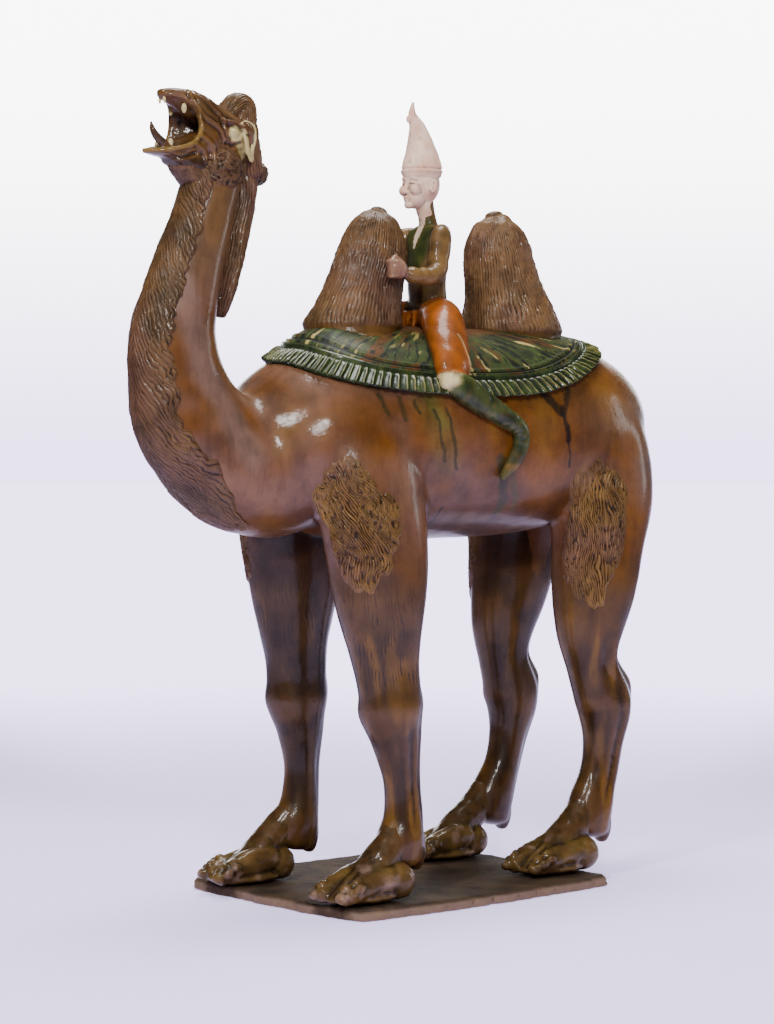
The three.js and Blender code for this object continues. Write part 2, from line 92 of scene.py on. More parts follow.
# %% [markdown]
# ## Camera
# The photograph looks at the camel's left side from a little in front, from 2.6 m away with a long lens.
# A long lens keeps the near and the far legs nearly the same size, which is how catalogues show a figure.

# %% Camera at the photograph's viewing angle
CAMERA_PLACE = (-1.6346, -2.0217, 0.463)
CAMERA_TURN = -38.67
CAMERA_DIP = 1.3
lens = bpy.data.cameras.new("camera")
lens.lens = 85.6
lens.clip_start = 0.05
camera = bpy.data.objects.new("camera", lens)
camera.location = CAMERA_PLACE
camera.rotation_euler = (math.radians(90 - CAMERA_DIP), 0, math.radians(CAMERA_TURN))
bpy.context.scene.collection.objects.link(camera)
bpy.context.scene.camera = camera

# %% [markdown]
# ## Lofted clay
# A leg, a neck or a hump is a row of oval rings along a path. A few stations give the path and the
# half-sizes of the oval, and a spline runs smoothly through them. That is quicker to shape than pushing
# points about, and a change to one station stays smooth.


# %% A spline through stations, for whole arrays
def spline(rows, t):
    """Catmull-Rom curve through rows at places t from 0 to 1.
    Between two rows the value is a cubic of the two and of their neighbours, and passes through both."""
    rows = np.asarray(rows, float)
    place = np.clip(t, 0, 1) * (len(rows) - 1)
    i = np.minimum(place.astype(int), len(rows) - 2)
    f = (place - i)[..., None]
    before, first, second, after = (rows[np.clip(i + k, 0, len(rows) - 1)] for k in (-1, 0, 1, 2))
    bend = 2 * before - 5 * first + 4 * second - after
    twist = 3 * first - before - 3 * second + after
    return first + 0.5 * f * (second - before + f * (bend + f * twist))


def circle(count):
    """Angles evenly round a circle."""
    return np.linspace(0, 2 * np.pi, count, endpoint=False)


def unit(vectors):
    """Vectors divided by their own length."""
    return vectors / np.maximum(np.linalg.norm(vectors, axis=-1, keepdims=True), 1e-12)


def ridge(value, place, width):
    """A round ridge: e to the minus squared distance from its place."""
    return np.exp(-((value - place) / width) ** 2)


SIDEWAYS = np.array([0.0, 1.0, 0.0])


def frames(rows):
    """The path's direction at each row, and the two directions square to it: up and across."""
    path = unit(np.gradient(rows[:, :3], axis=0))
    up = unit(np.cross(path, SIDEWAYS))
    return path, up, np.cross(up, path)


def run_along(rows):
    """How far along the path each row lies: the lengths between neighbours added up."""
    return np.append(0, np.cumsum(np.linalg.norm(np.diff(rows[:, :3], axis=0), axis=1)))


# %% A shell: rings of points closed at both ends
def outward(points, quads, tris):
    """Faces that point outwards. The volume is the sum of each face's corner products, and where it is
    negative all faces are turned round."""
    a, b, c, d = (points[quads[:, corner]] for corner in range(4))
    volume = np.einsum("ij,ij", a, np.cross(b, c)) + np.einsum("ij,ij", a, np.cross(c, d))
    p, q, r = (points[tris[:, corner]] for corner in range(3))
    volume += np.einsum("ij,ij", p, np.cross(q, r))
    if volume < 0:
        quads, tris = quads[:, ::-1], tris[:, ::-1]
    return points, quads, tris


def shell(grid, first_pole, last_pole):
    """Closed mesh from a grid (rings, sides, 3): quads between rings, and a fan to a pole at each end."""
    rings, sides = grid.shape[:2]
    i, j = np.meshgrid(np.arange(rings - 1), np.arange(sides), indexing="ij")
    k = (j + 1) % sides
    quads = np.stack([i * sides + j, (i + 1) * sides + j, (i + 1) * sides + k, i * sides + k], -1)
    quads = quads.reshape(-1, 4)
    side = np.arange(sides)
    following = (side + 1) % sides
    pole = rings * sides
    end = (rings - 1) * sides
    start_fan = np.stack([np.full(sides, pole), side, following], -1)
    end_fan = np.stack([np.full(sides, pole + 1), end + following, end + side], -1)
    tris = np.concatenate([start_fan, end_fan])
    points = np.concatenate([grid.reshape(-1, 3), [first_pole, last_pole]])
    return outward(points, quads, tris)


def closed_band(grid):
    """Closed mesh from a grid that joins up both ways, like a tyre."""
    rings, sides = grid.shape[:2]
    i, j = np.meshgrid(np.arange(rings), np.arange(sides), indexing="ij")
    k, down = (j + 1) % sides, (i + 1) % rings
    quads = np.stack([i * sides + j, down * sides + j, down * sides + k, i * sides + k], -1).reshape(-1, 4)
    return outward(grid.reshape(-1, 3), quads, np.empty((0, 3), int))


# %% Lofts, eggs and bars
# Angles of the rings in a domed end, from its pole down.
CAP = np.radians([72, 54, 36, 18])


def tube(stations, sides, rings, relief=None, reach=0.5, grow=0.0):
    """Oval rings square to the path, with domed ends.
    A ring's point is centre + up * (deep + relief) * cos(turn) + across * (wide + relief) * sin(turn).
    In a dome the ring shrinks by the cosine of an angle and moves out by its sine times the reach."""
    t = np.linspace(0, 1, rings)
    turn = circle(sides)
    rows = spline(stations, t)
    path, up, across = frames(rows)
    high = rows[:, 2, None] + up[:, 2, None] * rows[:, 3, None] * np.cos(turn)
    more = 0 if relief is None else relief(turn[None, :], t[:, None], high)
    deep = (rows[:, 3, None] + grow + more) * np.cos(turn)
    wide = (rows[:, 4, None] + grow + more) * np.sin(turn)
    centre = rows[:, None, :3]
    grid = centre + deep[..., None] * up[:, None] + wide[..., None] * across[:, None]
    caps, poles = [], []
    for end, sign in ((0, -1), (-1, 1)):
        length = min(rows[end, 3:5]) * reach + grow
        shrink = np.cos(CAP)[:, None, None]
        out = (np.sin(CAP) * length * sign)[:, None, None] * path[end]
        caps.append(centre[end] + (grid[end] - centre[end]) * shrink + out)
        poles.append(rows[end, :3] + sign * path[end] * length)
    return shell(np.concatenate([caps[0], grid, caps[1][::-1]]), *poles)


def lump(x, y, z, dx, dy, dz, sides=24, rings=13):
    """An egg: the centre plus half-sizes times the cosines and sines of two angles."""
    turn = circle(sides)[None, :]
    rise = (np.arange(rings) + 1)[:, None] / (rings + 1) * np.pi - np.pi / 2
    grid = np.stack(np.broadcast_arrays(
        x + dx * np.cos(rise) * np.cos(turn),
        y + dy * np.cos(rise) * np.sin(turn),
        z + dz * np.sin(rise) + 0 * turn), -1)
    return shell(grid, [x, y, z - dz], [x, y, z + dz])


def rod(path, radii, sides=10, rings=24):
    """A round bar along points given as rows of x, y, z, with a radius at each of them."""
    rows = [[*point, radius, radius] for point, radius in zip(path, radii)]
    return tube(rows, sides, rings, reach=0.9)


# %% Mirror shells and join them
def mirrored(made):
    """The same shell on the other side: y changes sign, and the faces are turned round to stay outward."""
    points, quads, tris = made
    return points * [1, -1, 1], quads[:, ::-1], tris[:, ::-1]


def together(shells):
    """Several shells as one list of points and faces: each one's corner numbers are moved past the last."""
    counts = np.cumsum([0] + [len(points) for points, _, _ in shells])
    points = np.concatenate([part[0] for part in shells])
    quads = np.concatenate([part[1] + start for part, start in zip(shells, counts)])
    tris = np.concatenate([part[2] + start for part, start in zip(shells, counts)])
    return points, quads, tris


# %% [markdown]
# ## From arrays to Blender
# A mesh takes whole arrays through foreach_set. Beside its shape each piece carries one or two numbers
# per point, such as how deep a groove is. The glazes read them later: thick and dark in a groove, thin
# and pale on a ridge, which is what a real lead glaze does.


# %% Put arrays into a mesh
def give(mesh, name, values):
    """Stores one number per point on the mesh, for the materials to read."""
    layer = mesh.attributes.get(name) or mesh.attributes.new(name, "FLOAT", "POINT")
    layer.data.foreach_set("value", np.ascontiguousarray(values, np.float32).ravel())


def paint(mesh, name, colours):
    """Stores one colour per point on the mesh."""
    layer = mesh.attributes.get(name) or mesh.attributes.new(name, "FLOAT_COLOR", "POINT")
    opaque = np.concatenate([colours, np.ones((len(colours), 1))], -1)
    layer.data.foreach_set("color", opaque.astype(np.float32).ravel())


def put(name, points, quads, tris, **values):
    """A new object at the origin, from points in metres and the corner numbers of its faces. Values
    are numbers at its points that the materials read, by their names."""
    mesh = bpy.data.meshes.new(name)
    mesh.vertices.add(len(points))
    mesh.vertices.foreach_set("co", points.astype(np.float32).ravel())
    corners = np.concatenate([quads.ravel(), tris.ravel()]).astype(np.int32)
    mesh.loops.add(len(corners))
    mesh.loops.foreach_set("vertex_index", corners)
    mesh.polygons.add(len(quads) + len(tris))
    starts = np.concatenate([np.arange(len(quads)) * 4, quads.size + np.arange(len(tris)) * 3])
    mesh.polygons.foreach_set("loop_start", starts.astype(np.int32))
    mesh.update(calc_edges=True)
    mesh.shade_smooth()
    for key, numbers in values.items():
        give(mesh, key, numbers)
    obj = bpy.data.objects.new(name, mesh)
    bpy.context.scene.collection.objects.link(obj)
    print(f"{name}: {len(mesh.polygons)} faces")
    return obj


def modelled(name, drawing, **values):
    """A new object from a shell drawn in millimetres."""
    points, quads, tris = drawing
    return put(name, placed(points), quads, tris, **values)


# %% Read points and move them
def points_of(mesh, what="co"):
    """The mesh's points as an array, or the directions that the surface faces there."""
    flat = np.empty(len(mesh.vertices) * 3, np.float32)
    mesh.vertices.foreach_get(what, flat)
    return flat.reshape(-1, 3).astype(float)


def normals_of(mesh):
    """The direction that the surface faces at each point."""
    return points_of(mesh, "normal")


def move(mesh, points):
    """Puts the mesh's points at new places."""
    mesh.vertices.foreach_set("co", points.astype(np.float32).ravel())
    mesh.update()


def applied(obj):
    """Bakes the modifiers of an object into its mesh."""
    graph = bpy.context.evaluated_depsgraph_get()
    made = bpy.data.meshes.new_from_object(obj.evaluated_get(graph))
    old = obj.data
    obj.modifiers.clear()
    obj.data = made
    bpy.data.meshes.remove(old)
    return obj


# %% [markdown]
# ## Clay noise
# No surface made by hand is even. Smooth random values come from a lattice: every corner gets a fixed
# random number, and the values between are blended. The same call always gives the same numbers.


# %% Noise
PRIMES = np.array([73856093, 19349663, 83492791])


def lattice(cells, seed):
    """Fixed random numbers from 0 to 1 for whole-number cells, mixed by large primes and shifts."""
    mixed = (cells * PRIMES[:cells.shape[-1]]).sum(-1) + seed * 2654435761
    mixed = ((mixed ^ (mixed >> 13)) & 0xFFFFFFFF) * 1274126177
    mixed = (mixed ^ (mixed >> 16)) & 0xFFFFFF
    return mixed / 0xFFFFFF


def noise(points, size, seed=0):
    """Smooth random values from -1 to 1, in lumps about size wide.
    Each corner of a point's cell counts by its nearness, smoothed by 3f2 - 2f3."""
    q = points / size
    low = np.floor(q).astype(np.int64)
    f = q - low
    f = f * f * (3 - 2 * f)
    total = np.zeros(points.shape[:-1])
    for corner in np.ndindex(*(2,) * points.shape[-1]):
        total += np.where(corner, f, 1 - f).prod(-1) * lattice(low + corner, seed)
    return total * 2 - 1


# %% Locks of hair
def locks(across, along, length, seed, lift=0.35):
    """Combed hair, from 0 in a groove to 1 on the back of a lock.
    Across counts locks and along is a distance. A lock's back is a round arch that narrows at both ends
    of its length, it stands higher at its tip, and each lock has its own height."""
    column = np.floor(across).astype(np.int64)
    place = along / length + lattice(column[..., None], seed)
    piece = np.floor(place).astype(np.int64)
    f, g = across - column, place - piece
    own = lattice(np.stack([column, piece], -1), seed + 1)
    narrow = np.sin(np.pi * np.clip(g, 0.04, 0.96)) ** 0.3
    arch = np.sqrt(np.clip(1 - (np.abs(2 * f - 1) / narrow) ** 2.2, 0, 1))
    return arch * (0.6 + 0.4 * own) * (1 - lift + lift * g)


# %% [markdown]
# ## Joining parts into one skin
# Clay parts are luted: pressed together with slip, and the joint is smoothed with a finger. Blender's
# voxel remesh does the first, and a few rounds of averaging each point with its neighbours the second.


# %% Remesh and smooth
def edges_of(mesh):
    """Both ends of each edge, as an array."""
    flat = np.empty(len(mesh.edges) * 2, np.int32)
    mesh.edges.foreach_get("vertices", flat)
    return flat.reshape(-1, 2)


def neighbour_mean(values, edges):
    """The mean of each point's neighbours: sums over the edges both ways, divided by their number."""
    a, b = edges.T
    count = np.bincount(edges.ravel(), minlength=len(values))
    columns = values.reshape(len(values), -1).T
    total = [np.bincount(a, c[b], len(values)) + np.bincount(b, c[a], len(values)) for c in columns]
    return (np.array(total) / np.maximum(count, 1)).T.reshape(values.shape)


def smooth(mesh, rounds, hold=0.0):
    """Moves each point half of the way to its neighbours' mean, less where hold is near 1."""
    points, edges = points_of(mesh), edges_of(mesh)
    share = 0.5 * (1 - np.broadcast_to(hold, len(points)))[:, None]
    for _ in range(rounds):
        points += (neighbour_mean(points, edges) - points) * share
    move(mesh, points)


def hollow(mesh, rounds=3):
    """How hollow the surface is at each point: the neighbours' mean above the point, along its normal."""
    edges = edges_of(mesh)
    points = points_of(mesh)
    depth = ((neighbour_mean(points, edges) - points) * normals_of(mesh)).sum(-1)
    for _ in range(rounds):
        depth = neighbour_mean(depth, edges)
    return depth


# %% One skin from many shells
def remeshed(obj, voxel, rounds):
    """One closed skin of quads about a voxel wide, smoothed for some rounds."""
    skin = obj.modifiers.new("skin", "REMESH")
    skin.mode = "VOXEL"
    skin.voxel_size = voxel * MM
    applied(obj)
    smooth(obj.data, rounds)
    obj.data.shade_smooth()
    print(f"{obj.name}: {len(obj.data.polygons)} faces after the remesh")
    return obj


def fused(name, shells, voxel, rounds):
    """One skin round closed shells, drawn in millimetres."""
    return remeshed(modelled(name, together(shells)), voxel, rounds)


def carved(obj, cutter):
    """Takes a closed shell away from an object with the Boolean modifier."""
    tool = modelled("tool", cutter)
    cut = obj.modifiers.new("cut", "BOOLEAN")
    cut.operation = "DIFFERENCE"
    cut.solver = "MANIFOLD"
    cut.object = tool
    applied(obj)
    bpy.data.objects.remove(tool)
    return obj


def pressed(obj, shells, voxel, rounds):
    """Presses more clay on: the shells join the object's mesh, and a remesh makes one skin of both."""
    more = modelled("more", together(shells))
    both = bmesh.new()
    both.from_mesh(obj.data)
    both.from_mesh(more.data)
    both.to_mesh(obj.data)
    both.free()
    bpy.data.objects.remove(more)
    return remeshed(obj, voxel, rounds)


# %% Fewer faces, and a swelling
def lightened(obj, triangles):
    """Drops the least needed edges until the mesh has this many triangles, by the Decimate modifier."""
    mesh = obj.data
    mesh.calc_loop_triangles()
    fewer = obj.modifiers.new("fewer", "DECIMATE")
    fewer.ratio = min(1, triangles / len(mesh.loop_triangles))
    applied(obj)
    obj.data.shade_smooth()
    return obj


def swell(obj, amount):
    """Moves each point along its normal by an amount in millimetres."""
    mesh = obj.data
    move(mesh, points_of(mesh) + normals_of(mesh) * (amount * MM)[:, None])


def drawn(obj):
    """An object's points back in the drawing's millimetres."""
    return (points_of(obj.data) - [0, 0, SOLES]) / MM

# %% [markdown]
# ## The camel's body
# Trunk, neck and legs are lofts through the same stations as the solids, with more rings and with bone
# and sinew pressed in: small hills and hollows placed by their angle round the leg and their height.

# %% Stations of trunk and neck: x, y, z, half-depth, half-width
TRUNK = [
    [-214, 0, 444, 42, 40], [-198, 0, 447, 60, 64], [-170, 0, 453, 75, 88], [-128, 0, 463, 94, 104],
    [-60, 0, 472, 110, 112], [20, 0, 474, 110.5, 115], [100, 0, 475, 110, 117],
    [165, 0, 478, 108, 116], [215, 0, 483, 100, 109], [256, 0, 484, 85, 95], [288, 0, 480, 66, 77],
    [308, 0, 474, 44, 54],
]
NECK = [
    [-120, 0, 452, 64, 74], [-168, 0, 444, 75, 76], [-210, 0, 446, 70, 62], [-244, 0, 464, 61, 50],
    [-272, 0, 498, 56, 43], [-285, 0, 540, 48, 36], [-286, 0, 576, 43, 33], [-277, 0, 610, 38, 31],
    [-266, 0, 645, 34, 29], [-253, 0, 680, 31, 27], [-245, 0, 708, 29, 26], [-234, 0, 742, 28, 26],
]

# %% Stations of the legs, left side
FORELEG = [
    [-112, -58, 505, 34, 30], [-104, -70, 450, 58, 44], [-94, -77, 400, 58, 46],
    [-87, -79, 343, 53, 45], [-85, -80, 300, 47, 40], [-82, -80, 254, 37, 32],
    [-77, -80, 215, 32, 27], [-75, -80, 187, 32.5, 27.5], [-70, -80, 158, 26, 22],
    [-66, -80, 118, 19, 16.5], [-66, -80, 82, 20, 17.5], [-71, -80, 56, 25, 21],
    [-74, -80, 40, 24, 20],
]
HINDLEG = [
    [243, -50, 512, 28, 24], [241, -58, 482, 51, 40], [237, -62, 445, 62, 47],
    [232, -66, 400, 63, 49], [226, -68, 354, 54, 44], [219, -69, 308, 48, 41],
    [212, -70, 260, 39, 33], [215, -70, 222, 30, 25.5], [227, -70, 190, 32, 26.5],
    [230, -70, 166, 30, 25], [226, -70, 134, 23, 19.5], [218, -70, 100, 21.5, 18.5],
    [205, -70, 68, 25, 21], [198, -70, 44, 25, 21],
]
FOREFOOT, HINDFOOT = (-124, 83), (142, 71)
STRIDE = {"fore": (22, 210), "hind": (28, 300)}
SWING_TOP = 300


def stride_at(z, side, which):
    """How far the step carries a leg at height z: back on the left and forward on the right.
    Half the stride at the ground, nothing at the pivot, and a straight line between."""
    length, pivot = STRIDE[which]
    return -side * length / 2 * (1 - np.minimum(z, SWING_TOP) / pivot)


def leg_rows(stations, side, which):
    """A leg's stations on one side, with the step added."""
    rows = np.array(stations, float)
    rows[:, 0] += stride_at(rows[:, 2], side, which)
    rows[:, 1] *= -side
    return rows


# %% Bone and sinew
# Each row is a hill or hollow: degrees round the leg from its back (180 is its front, 90 its outside),
# height, spread in degrees, spread in millimetres up and down, and millimetres out.
FORE_SHAPE = [
    [180, 212, 34, 16, 2.2], [150, 190, 26, 13, 2.4], [-150, 190, 26, 13, 2.0],
    [0, 203, 26, 14, 4.2], [90, 205, 26, 22, 1.6], [60, 176, 22, 16, -1.8], [55, 125, 20, 46, -2.8],
    [-55, 125, 20, 46, -2.8], [118, 118, 16, 40, -1.6], [0, 110, 22, 40, 1.8],
    [180, 62, 30, 16, 2.0], [90, 60, 28, 16, 1.8], [125, 270, 22, 60, -2.0], [60, 285, 24, 50, 2.4],
    [20, 262, 20, 44, -2.2], [88, 124, 9, 54, -3.6], [68, 122, 10, 58, 2.2], [50, 120, 9, 52, -3.0],
    [142, 108, 8, 34, -2.2], [130, 204, 20, 14, 2.0], [165, 240, 16, 20, -1.8],
    [92, 240, 9, 26, -2.6],
]
HIND_SHAPE = [
    [0, 196, 24, 15, 6.5], [0, 228, 15, 26, 3.2], [42, 222, 16, 30, -4.0], [-42, 222, 16, 30, -4.0],
    [90, 178, 30, 18, 2.4], [180, 186, 34, 18, 1.8], [50, 120, 20, 44, -2.6],
    [-50, 120, 20, 44, -2.6], [120, 112, 16, 40, -1.6], [0, 112, 22, 40, 1.8],
    [180, 64, 30, 16, 2.2], [90, 62, 28, 16, 1.6], [130, 275, 24, 50, -2.4], [60, 300, 26, 40, 2.2],
    [90, 118, 9, 56, -3.8], [68, 118, 11, 58, 2.4], [140, 112, 7, 17, -2.8],
    [96, 222, 10, 28, -4.6], [74, 232, 11, 32, 2.2], [150, 178, 24, 10, 1.8],
]


def sinews(shape, side):
    """A leg's relief: the sum of round hills, each one's height times e to the minus squared distance."""
    def relief(turn, t, z):
        total = 0.0
        for degrees, height, spread, tall, out in shape:
            away = np.angle(np.exp(1j * (turn - side * math.radians(degrees))))
            total = total + out * np.exp(-(away / math.radians(spread)) ** 2 - ((z - height) / tall) ** 2)
        return total
    return relief


# %% [markdown]
# ## Feet
# A camel walks on two toes over one soft pad. Each foot could be sculpted from a single lump. Eggs and
# short lofts fused by a remesh keep the round parts round and leave creases between them, as clay does
# that is pressed together with the thumbs.

# %% Feet
# All places on a foot are given as back from the middle of its pad, outwards, and height.
TOES = [
    [[22, 15, 21, 15, 15], [-2, 17, 18, 14, 14], [-24, 19, 13.5, 11.5, 12.5], [-41, 19, 9, 8.5, 10]],
    [[16, -11, 25, 16, 14], [-8, -11, 21, 15, 14], [-30, -10, 15.5, 12, 12.5], [-48, -9, 9, 8.5, 10]],
]
HEEL_BALLS = [
    [31, 15, 19, 19, 18, 19],
    [28, -11, 18, 18, 16, 18],
]
SOLE = [-4, 2, 6, 46, 29, 8]
CHANNEL = [[14, 3, 49], [-6, 3, 34], [-27, 4, 21], [-44, 5, 10]]
CHANNEL_RIDGES = {-7: 2.4, 0: 3.0, 7: 2.2}
# Knobs on a toe: ahead of its third station, to its side, height and half-size.
KNOBS = [
    [-22, 6, 9, 5.5], [-23, -3, 10, 5.5], [-13, 10, 14, 5.5], [-14, 1, 18, 6], [-3, 11, 19, 5],
    [-2, 3, 23, 5.5],
]
SPUR = [
    [4, 84, 14, 13], [12, 62, 16, 16], [18, 46, 13, 14], [21, 35, 9, 11], [22, 27, 5, 7],
]


def foot(x, y, ankle, side):
    """A camel's pad: a sole, two heel balls, two toes with knobbly nails, and ridges down between them."""
    ankle_x, ankle_y, ankle_z = ankle

    def spot(back, out, z):
        return [x + back, y + side * out, z]

    made = [lump(*spot(*SOLE[:3]), *SOLE[3:], 40, 20)]
    for ball in HEEL_BALLS:
        made.append(lump(*spot(*ball[:3]), *ball[3:], 36, 20))
    for toe in TOES:
        made.append(tube([[*spot(*row[:3]), *row[3:]] for row in toe], 28, 24))
        tip_back, tip_out = toe[2][:2]
        for ahead, beside, z, size in KNOBS:
            out = tip_out + math.copysign(beside, tip_out)
            made.append(lump(*spot(tip_back + ahead, out, z), size * 1.15, size * 0.85, size, 14, 9))
    for shift, radius in CHANNEL_RIDGES.items():
        line = []
        for back, out, z in CHANNEL:
            apart = shift * (0.6 + 0.4 * (back < 0))
            line.append(spot(back, out + apart, z - abs(shift) * 0.35))
        made.append(rod(line, [radius, radius, radius, radius * 0.6]))
    made.append(tube([
        [ankle_x - 2, ankle_y, ankle_z + 24, 20, 17],
        [(ankle_x + x + 24) / 2 - 2, y, 50, 20, 18],
        [x + 12, y, 35, 15, 19],
        [x - 8, y, 23, 10, 17],
        [x - 26, y, 13, 7, 13],
    ], 32, 30))
    return made


# %% Fuse trunk, neck and legs into one skin
BODY_VOXEL, BODY_TRIANGLES = 2.0, 158000
FOOT_VOXEL, FEET_TRIANGLES = 1.5, 54000
LEG_GROW, BODY_SWELL = 0.6, 0.9
# The joints of the trunk are rubbed smooth. The legs keep their bones below the first height and the neck
# its curve ahead of the second place, each fading in over the distance that follows.
JOINT_ROUNDS = 110
LEGS_KEPT, NECK_KEPT = (412, 40), (236, 20)
shells = [tube(TRUNK, 90, 110), tube(NECK, 60, 110)]
foot_shells = []
for side in (LEFT, RIGHT):
    for stations, (foot_x, foot_y), which, shape in (
        (FORELEG, FOREFOOT, "fore", FORE_SHAPE),
        (HINDLEG, HINDFOOT, "hind", HIND_SHAPE),
    ):
        rows = leg_rows(stations, side, which)
        shells.append(tube(rows, 72, 150, sinews(shape, side), grow=LEG_GROW))
        ankle_x, ankle_y = rows[-1, :2]
        shells.append(tube([[ankle_x + back, ankle_y, *rest] for back, *rest in SPUR], 20, 14))
        foot_shells += foot(foot_x + stride_at(0, side, which), side * foot_y, rows[-1, :3], side)
body = fused("camel_body", shells, BODY_VOXEL, 5)
feet = fused("feet", foot_shells, FOOT_VOXEL, 2)
at = drawn(feet)
swell(feet, 0.6 * noise(at, 11, 6) + 0.4 * noise(at, 4.5, 7))
lightened(feet, FEET_TRIANGLES)
at = drawn(body)
legs_stay = np.clip((LEGS_KEPT[0] - at[:, 2]) / LEGS_KEPT[1], 0, 1)
neck_stays = np.clip((-at[:, 0] - NECK_KEPT[0]) / NECK_KEPT[1], 0, 1)
smooth(body.data, JOINT_ROUNDS, np.maximum(legs_stay, neck_stays))
unevenness = 0.7 * noise(at, 46, 3) + 0.3 * noise(at, 17, 4)
swell(body, BODY_SWELL + unevenness)
lightened(body, BODY_TRIANGLES)
print("camel_body from", drawn(body).min(0).round(1), "to", drawn(body).max(0).round(1))

# %% [markdown]
# ## Combed hair and the humps
# Each hump is a tall cone of hair. The potter drew a comb from the top down to the cloth, so the
# strands run nearly upright, waver a little and meet at the crown. The same combing, at another size,
# makes the crest on the head, the lock down the nape, the beard and the tail.


# %% Combed hair on a loft
# A groove counts as 1 at its bottom, and less than 0 on the back of a lock.
GROOVE_SLOPE = 1.45
LEDGE_OUT = 3.6
PATH_STEPS = 400


def combed(name, stations, size, strands, length, depth, seed, foot=None):
    """A loft whose relief is two layers of locks, the finer one half as wide, wavering with the noise.
    Size is its numbers of sides and rings. Below the height of its foot the clay stays smooth, and a
    little lower it steps out in a ledge."""
    sides, rings = size
    girth = np.mean(np.array(stations)[:, 3:5])
    steps = np.linspace(0, 1, PATH_STEPS)
    run = run_along(spline(stations, steps))
    kept = {}

    def relief(turn, t, z):
        along = np.interp(t, steps, run)
        flat = np.stack(np.broadcast_arrays(np.cos(turn) * girth, np.sin(turn) * girth, along), -1)
        waver = 0.8 * noise(flat * [1, 1, 0.6], 24, seed) + 0.45 * noise(flat, 9, seed + 1)
        strand = turn / (2 * np.pi) * strands + waver
        coarse = locks(strand % strands, along + 0 * turn, length, seed + 2)
        fine = np.abs(np.sin(np.pi * (strand * 2 + 0.4 * noise(flat, 6, seed + 3)))) ** 0.7
        hair = 0.72 * coarse + 0.28 * fine
        covered, ledge = 1.0, 0.0
        if foot is not None:
            covered = 1 / (1 + np.exp(-(z - foot - 3 * noise(flat, 12, seed + 4)) / 1.2))
            ledge = LEDGE_OUT / (1 + np.exp((z - foot + 10) / 0.5))
            ledge = ledge - ridge(z, foot - 8.5, 0.8) - ridge(z, foot - 13, 0.7)
        clumps = 0.5 * depth * noise(flat * [1, 1, 0.35], 15, seed + 5)
        clumps = clumps + 0.25 * depth * noise(flat, 5, seed + 6)
        kept["groove"] = (1 - GROOVE_SLOPE * hair) * covered + 0 * hair
        return covered * (depth * hair + clumps + 0.35 * depth) - 0.45 * depth + ledge

    drawing = tube(stations, sides, rings, relief, reach=0.72)
    ends = len(CAP), len(CAP)
    groove = np.pad(kept["groove"], (ends, (0, 0)), constant_values=0.5).ravel()
    return modelled(name, drawing, groove=np.append(groove, [0.5, 0.5]))


# %% Humps
FRONT_HUMP = [
    [-64, 0, 560, 58, 52], [-62, 0, 576, 56, 50], [-56, 0, 600, 47, 43], [-48, 0, 628, 40, 37],
    [-39, 0, 657, 37.5, 35], [-35, 0, 676, 34, 32], [-32, 0, 690, 28.5, 27], [-30, 0, 700, 22, 21],
    [-29, 0, 706, 15, 14.5], [-28, 0, 710, 7, 7],
]
REAR_HUMP = [
    [163, 0, 560, 60, 54], [161, 0, 576, 58, 52], [154, 0, 604, 51, 47], [148, 0, 630, 43, 40],
    [142, 0, 656, 38.5, 36], [138, 0, 678, 35, 33], [136, 0, 693, 29.5, 28],
    [134.5, 0, 704, 22.5, 21.5], [134, 0, 711, 15, 14.5], [133, 0, 715.5, 7, 7],
]
HUMP_SIZE = (300, 116)
HAIR_FOOT = 587
front_hump = combed("front_hump", FRONT_HUMP, HUMP_SIZE, 70, 36, 3.4, 11, HAIR_FOOT)
rear_hump = combed("rear_hump", REAR_HUMP, HUMP_SIZE, 72, 36, 3.4, 29, HAIR_FOOT)

# %% [markdown]
# ## Mane
# A raised strip of hair covers the front of the neck from the chin to the chest. Its locks leave a
# parting on the neck's front line and slant back and down to the strip's edge, like the barbs of a
# feather. The strip is a surface of two numbers, along the neck and across it, closed inside the neck.

# %% Mane
MANE_START, MANE_SPREAD, MANE_RISE = 0.13, math.radians(61), 6.0
MANE_ROWS, MANE_SIDES, MANE_BACK = 290, 132, 4
STRAND_ANGLE, STRAND_WIDTH, STRAND_LENGTH = math.radians(31), 3.1, 44


